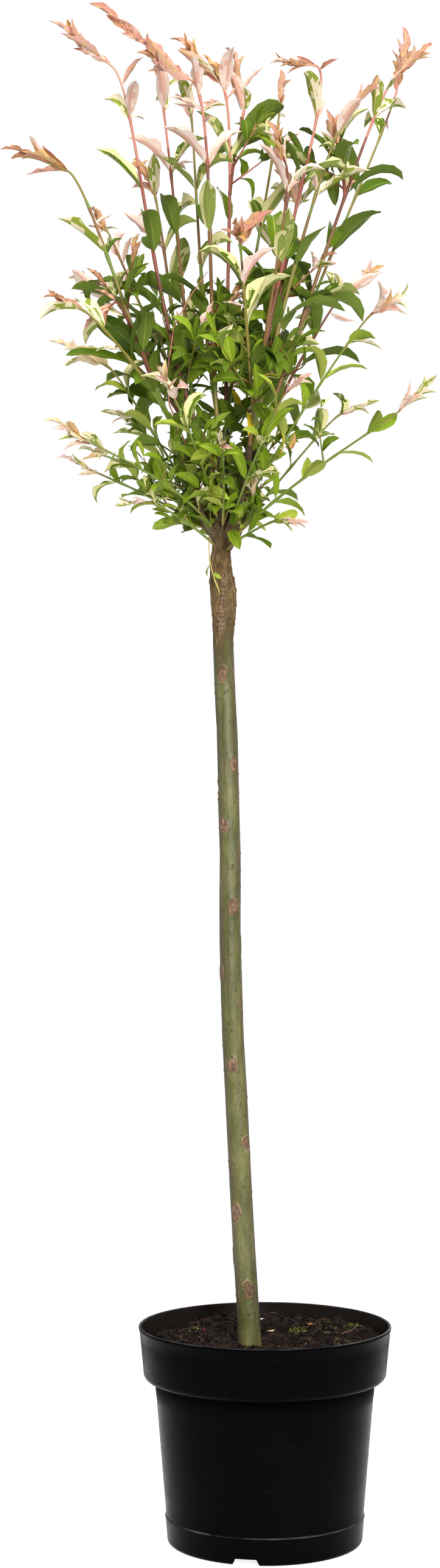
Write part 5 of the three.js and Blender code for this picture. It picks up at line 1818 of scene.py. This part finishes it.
def sow_leaves(growths):
    """One piece for each kind of leaf."""
    sprays = {kind: Spray() for kind in LEAF_KINDS}
    for index, growth in enumerate(growths):
        draw = own_draw(KIND_DRAWS, index)
        low_shoot = growth.node.startswith("shoot")
        finer, tufts = extra_leaves(growth, index)
        dealt = [(leaf, choose_kind(leaf, draw, low_shoot)) for leaf in growth.leaves + finer]
        for leaf in growth.small:
            shares = LOW_SMALL_LEAVES if leaf.root.z < SMALL_BELOW else SMALL_LEAVES
            dealt.append((leaf, deal(draw, shares)))
        for leaves in tufts:
            usual = deal(draw, SHOOT_TIPS if low_shoot else WAND_TIPS)
            for leaf in leaves:
                alike = draw() < 0.5 and leaf.sort == "tuft"
                dealt.append((leaf, usual if alike else choose_kind(leaf, draw, low_shoot)))
        if not index:
            dealt += stray_leaves()
        for leaf, kind in dealt:
            gone = float(np.interp(leaf.root.z, *DROPPED))
            if leaf.sort == "paired" and draw() < gone:
                continue
            if leaf.root.z < SMALL_BELOW and leaf.sort != "stray":
                leaf.length, leaf.width = LOW_LEAF_SIZE * leaf.length, LOW_LEAF_SIZE * leaf.width
            count = LEAF_FORMS[LEAF_KINDS[kind][0]][0]
            sprays[kind].put_leaf(leaf, int(draw() * count) % count)
    shapes = {}
    for name, (count, form) in LEAF_FORMS.items():
        shapes[name] = leaf_collection(f"{name}_leaf", count, **form)
    tree = sowing_tree("sow_leaves", 4)
    pieces = {}
    for kind, spray in sprays.items():
        if not spray.places:
            continue
        shape, *tints = LEAF_KINDS[kind]
        rough = 0.46 if shape in ("mature", "broad") else 0.56
        skins = [leaf_skin(f"{kind}_{part}", tint(*colour), rough)
                 for part, colour in zip(("blade", "midrib", "underside", "streak"), tints)]
        piece = sow_spray(f"leaves_{kind}", spray, shapes[shape], tree, skins)
        pieces[kind] = piece
    return pieces


# Stems

STEM_TINTS = [
    (82, 68, 42), (140, 128, 56), (116, 136, 48), (134, 96, 50),
    (122, 68, 44), (152, 80, 62), (202, 130, 108), (216, 164, 134),
]
# Tones up each wand, by turns: red wands, olive wands and brown wands
WAND_TONES = [(3, 4, 4, 5, 5, 6, 7), (2, 1, 1, 3, 1, 1, 6), (1, 3, 3, 3, 4, 6, 7)]
# From which height the tones start, and over how much height they change
WAND_HEIGHTS = (960, 390)
# Tones along a low shoot, each up to a share of its length
SHOOT_TONES = ((0.1, 0), (0.2, 1), (0.75, 2), (0.92, 1), (math.inf, 7))


def stem_shade(point, share, draw, low_shoot, palette):
    """The number of a stem's tint at a point."""
    if low_shoot:
        return next(tone for end, tone in SHOOT_TONES if share < end)
    start, over = WAND_HEIGHTS
    up = (point.z - start) / over + luck(draw, 0.05)
    return palette[int(min(len(palette) - 1, max(0, up * len(palette))))]


def make_stems(growths):
    """All wands, forks, twigs and shoots as one piece, swollen where leaves sit."""
    paths = []
    for index, growth in enumerate(growths):
        draw = own_draw(TONE_DRAWS, index)
        low_shoot = growth.node.startswith("shoot")
        for number, stem in enumerate(growth.stems):
            palette = WAND_TONES[(index + 2 * number) % len(WAND_TONES)]
            nodes = sorted({round(leaf.reach) for leaf in growth.leaves if leaf.stem is stem})
            path = []
            for point, run, radius in zip(stem.points, stem.runs, stem.radii):
                swell = sum(0.28 * math.exp(-(((run - node) / 3.5) ** 2)) for node in nodes)
                tone = stem_shade(point, run / stem.length, draw, low_shoot, palette)
                path.append((point, radius * (1 + swell), tone))
            paths.append(path)
    return draw_paths("wands_and_shoots", paths, 8, shoot_skins("shoot_skin", STEM_TINTS))


# Dry twigs: places with the girth at each, and the shade of each
DRY_TWIGS = [
    (0, [(-50, -22, 888, 0.45), (-49.2, -25, 872, 0.55), (-47.2, -27.4, 863, 0.6), (-44.4, -29.2, 853, 0.7),
         (-41.4, -29.0, 846, 0.6), (-40.4, -25.6, 841, 0.4)]),
    (1, [(-70, -40, 972, 0.7), (-84, -58, 1004, 0.7), (-86.5, -62, 1028, 0.65), (-80, -60, 1072, 0.6),
         (-66, -60, 1098, 0.5), (-50.9, -60, 1120, 0.3)]),
]
DRY_TINTS = [(206, 194, 108), (176, 118, 92)]


# Leaves that the rule doesn't place: root, heading, roll, length, width and kind
STRAY_LEAVES = [
    ((-58, -62, 1062), (0.35, -0.3, 0.8), 20, 34, 9, "blush"),
    ((-52, -62, 1058), (0.8, -0.35, 0.35), 60, 30, 8, "dappled_cream"),
    ((-48.6, -27, 868), (-0.35, -0.25, -0.9), 40, 12, 6, "light_green"),
    ((-46.4, -28, 860), (0.6, -0.4, -0.5), 10, 9, 4, "light_green"),
    ((-15, -48, 976), (0.18, -0.25, 0.95), 60, 25, 7.5, "yellow"),
    ((10, -54, 1030), (-0.92, -0.25, 0.12), 20, 18, 6, "yellow"),
    ((-22, -46, 954), (-0.12, -0.2, 0.95), 70, 14, 5, "yellow"),
    ((22, -46, 966), (0.25, -0.35, 0.9), 30, 16, 6, "ochre"),
]


def stray_leaves():
    """Scraps on the dry twig and yellow leaves in the crown, as (leaf, kind) pairs."""
    pairs = []
    for root, way, roll, length, width, kind in STRAY_LEAVES:
        stub = Stem([Vector(root), Vector(root) + Vector(way)], 1, 1)
        pairs.append((Leaf(stub, 0, 0, 0, roll, length, width, 0, "stray"), kind))
    return pairs


def make_dry_twigs():
    paths = [[(Vector(place[:3]), place[3], tone) for place in twig] for tone, twig in DRY_TWIGS]
    finish_extra(draw_paths("dry_twigs", paths, 6, shoot_skins("dry_skin", DRY_TINTS, 0.7)))


def make_boughs(boughs):
    bark = old_bark("bough_bark", tint(44, 33, 22), tint(86, 66, 42), tint(126, 104, 68))
    rounds = 20
    for name, stem in boughs:
        points = []
        normal = across(ROLL_MARK, stem.tangents[0])
        for i, point in enumerate(stem.points):
            normal = across(normal, stem.tangents[i])
            other = stem.tangents[i].cross(normal)
            for j in range(rounds):
                turn = 2 * math.pi * j / rounds
                out = normal * math.cos(turn) + other * math.sin(turn)
                spot = Vector((out.x * 1.4, out.y * 1.4, stem.runs[i] / 6))
                relief = 0.5 * noise.fractal(spot, 0.8, 2.1, 3)
                points.append((point + out * (stem.radii[i] * 1.08 + relief)) * MM)
        faces = grid_faces(len(stem.points), rounds, True)
        faces.append(tuple(reversed(range(rounds))))
        faces.append(tuple(range(len(points) - rounds, len(points))))
        bough = mesh_piece(f"bough_{name}_bark", points, faces, bark)
        face_outwards(bough.data)
        finish_piece(bough, "bough_bark", f"bough_{name}")


def make_crown():
    boughs, growths = lay_out_crown()
    for index, growth in enumerate(growths):
        draw = own_draw(TWIG_DRAWS, index)
        if index < len(boughs):
            carriers = [(boughs[index][1], 1, 0.05, 0.2), (boughs[index][1], 2, 0.25, 1.0)]
            carriers += [(stem, 2, 0.02, 0.26) for stem in growth.stems[:3]]
        else:
            carriers = [(growth.stems[0], 1, 0.04, 0.12), (growth.stems[0], 1, 0.15, 0.6)]
        grow_inner_twigs(growth, carriers, draw)
    make_boughs(boughs)
    stems = make_stems(growths)
    leaves = sow_leaves(growths)
    wands = [growth.node for growth in growths if growth.node.startswith("foliage")]
    shoots = [growth.node for growth in growths if growth.node.startswith("shoot")]
    finish_piece(stems, "wand_leaves", *wands, *shoots)
    for kind, piece in leaves.items():
        if kind in ("bright_green", "dappled"):
            finish_piece(piece, "shoot_leaves", *shoots)
        else:
            finish_piece(piece, "wand_leaves", *wands)


place_camera()
light_studio()
lay_floor()
make_pot()
make_peat()
make_litter()
make_trunk()
make_crown()
make_dry_twigs()
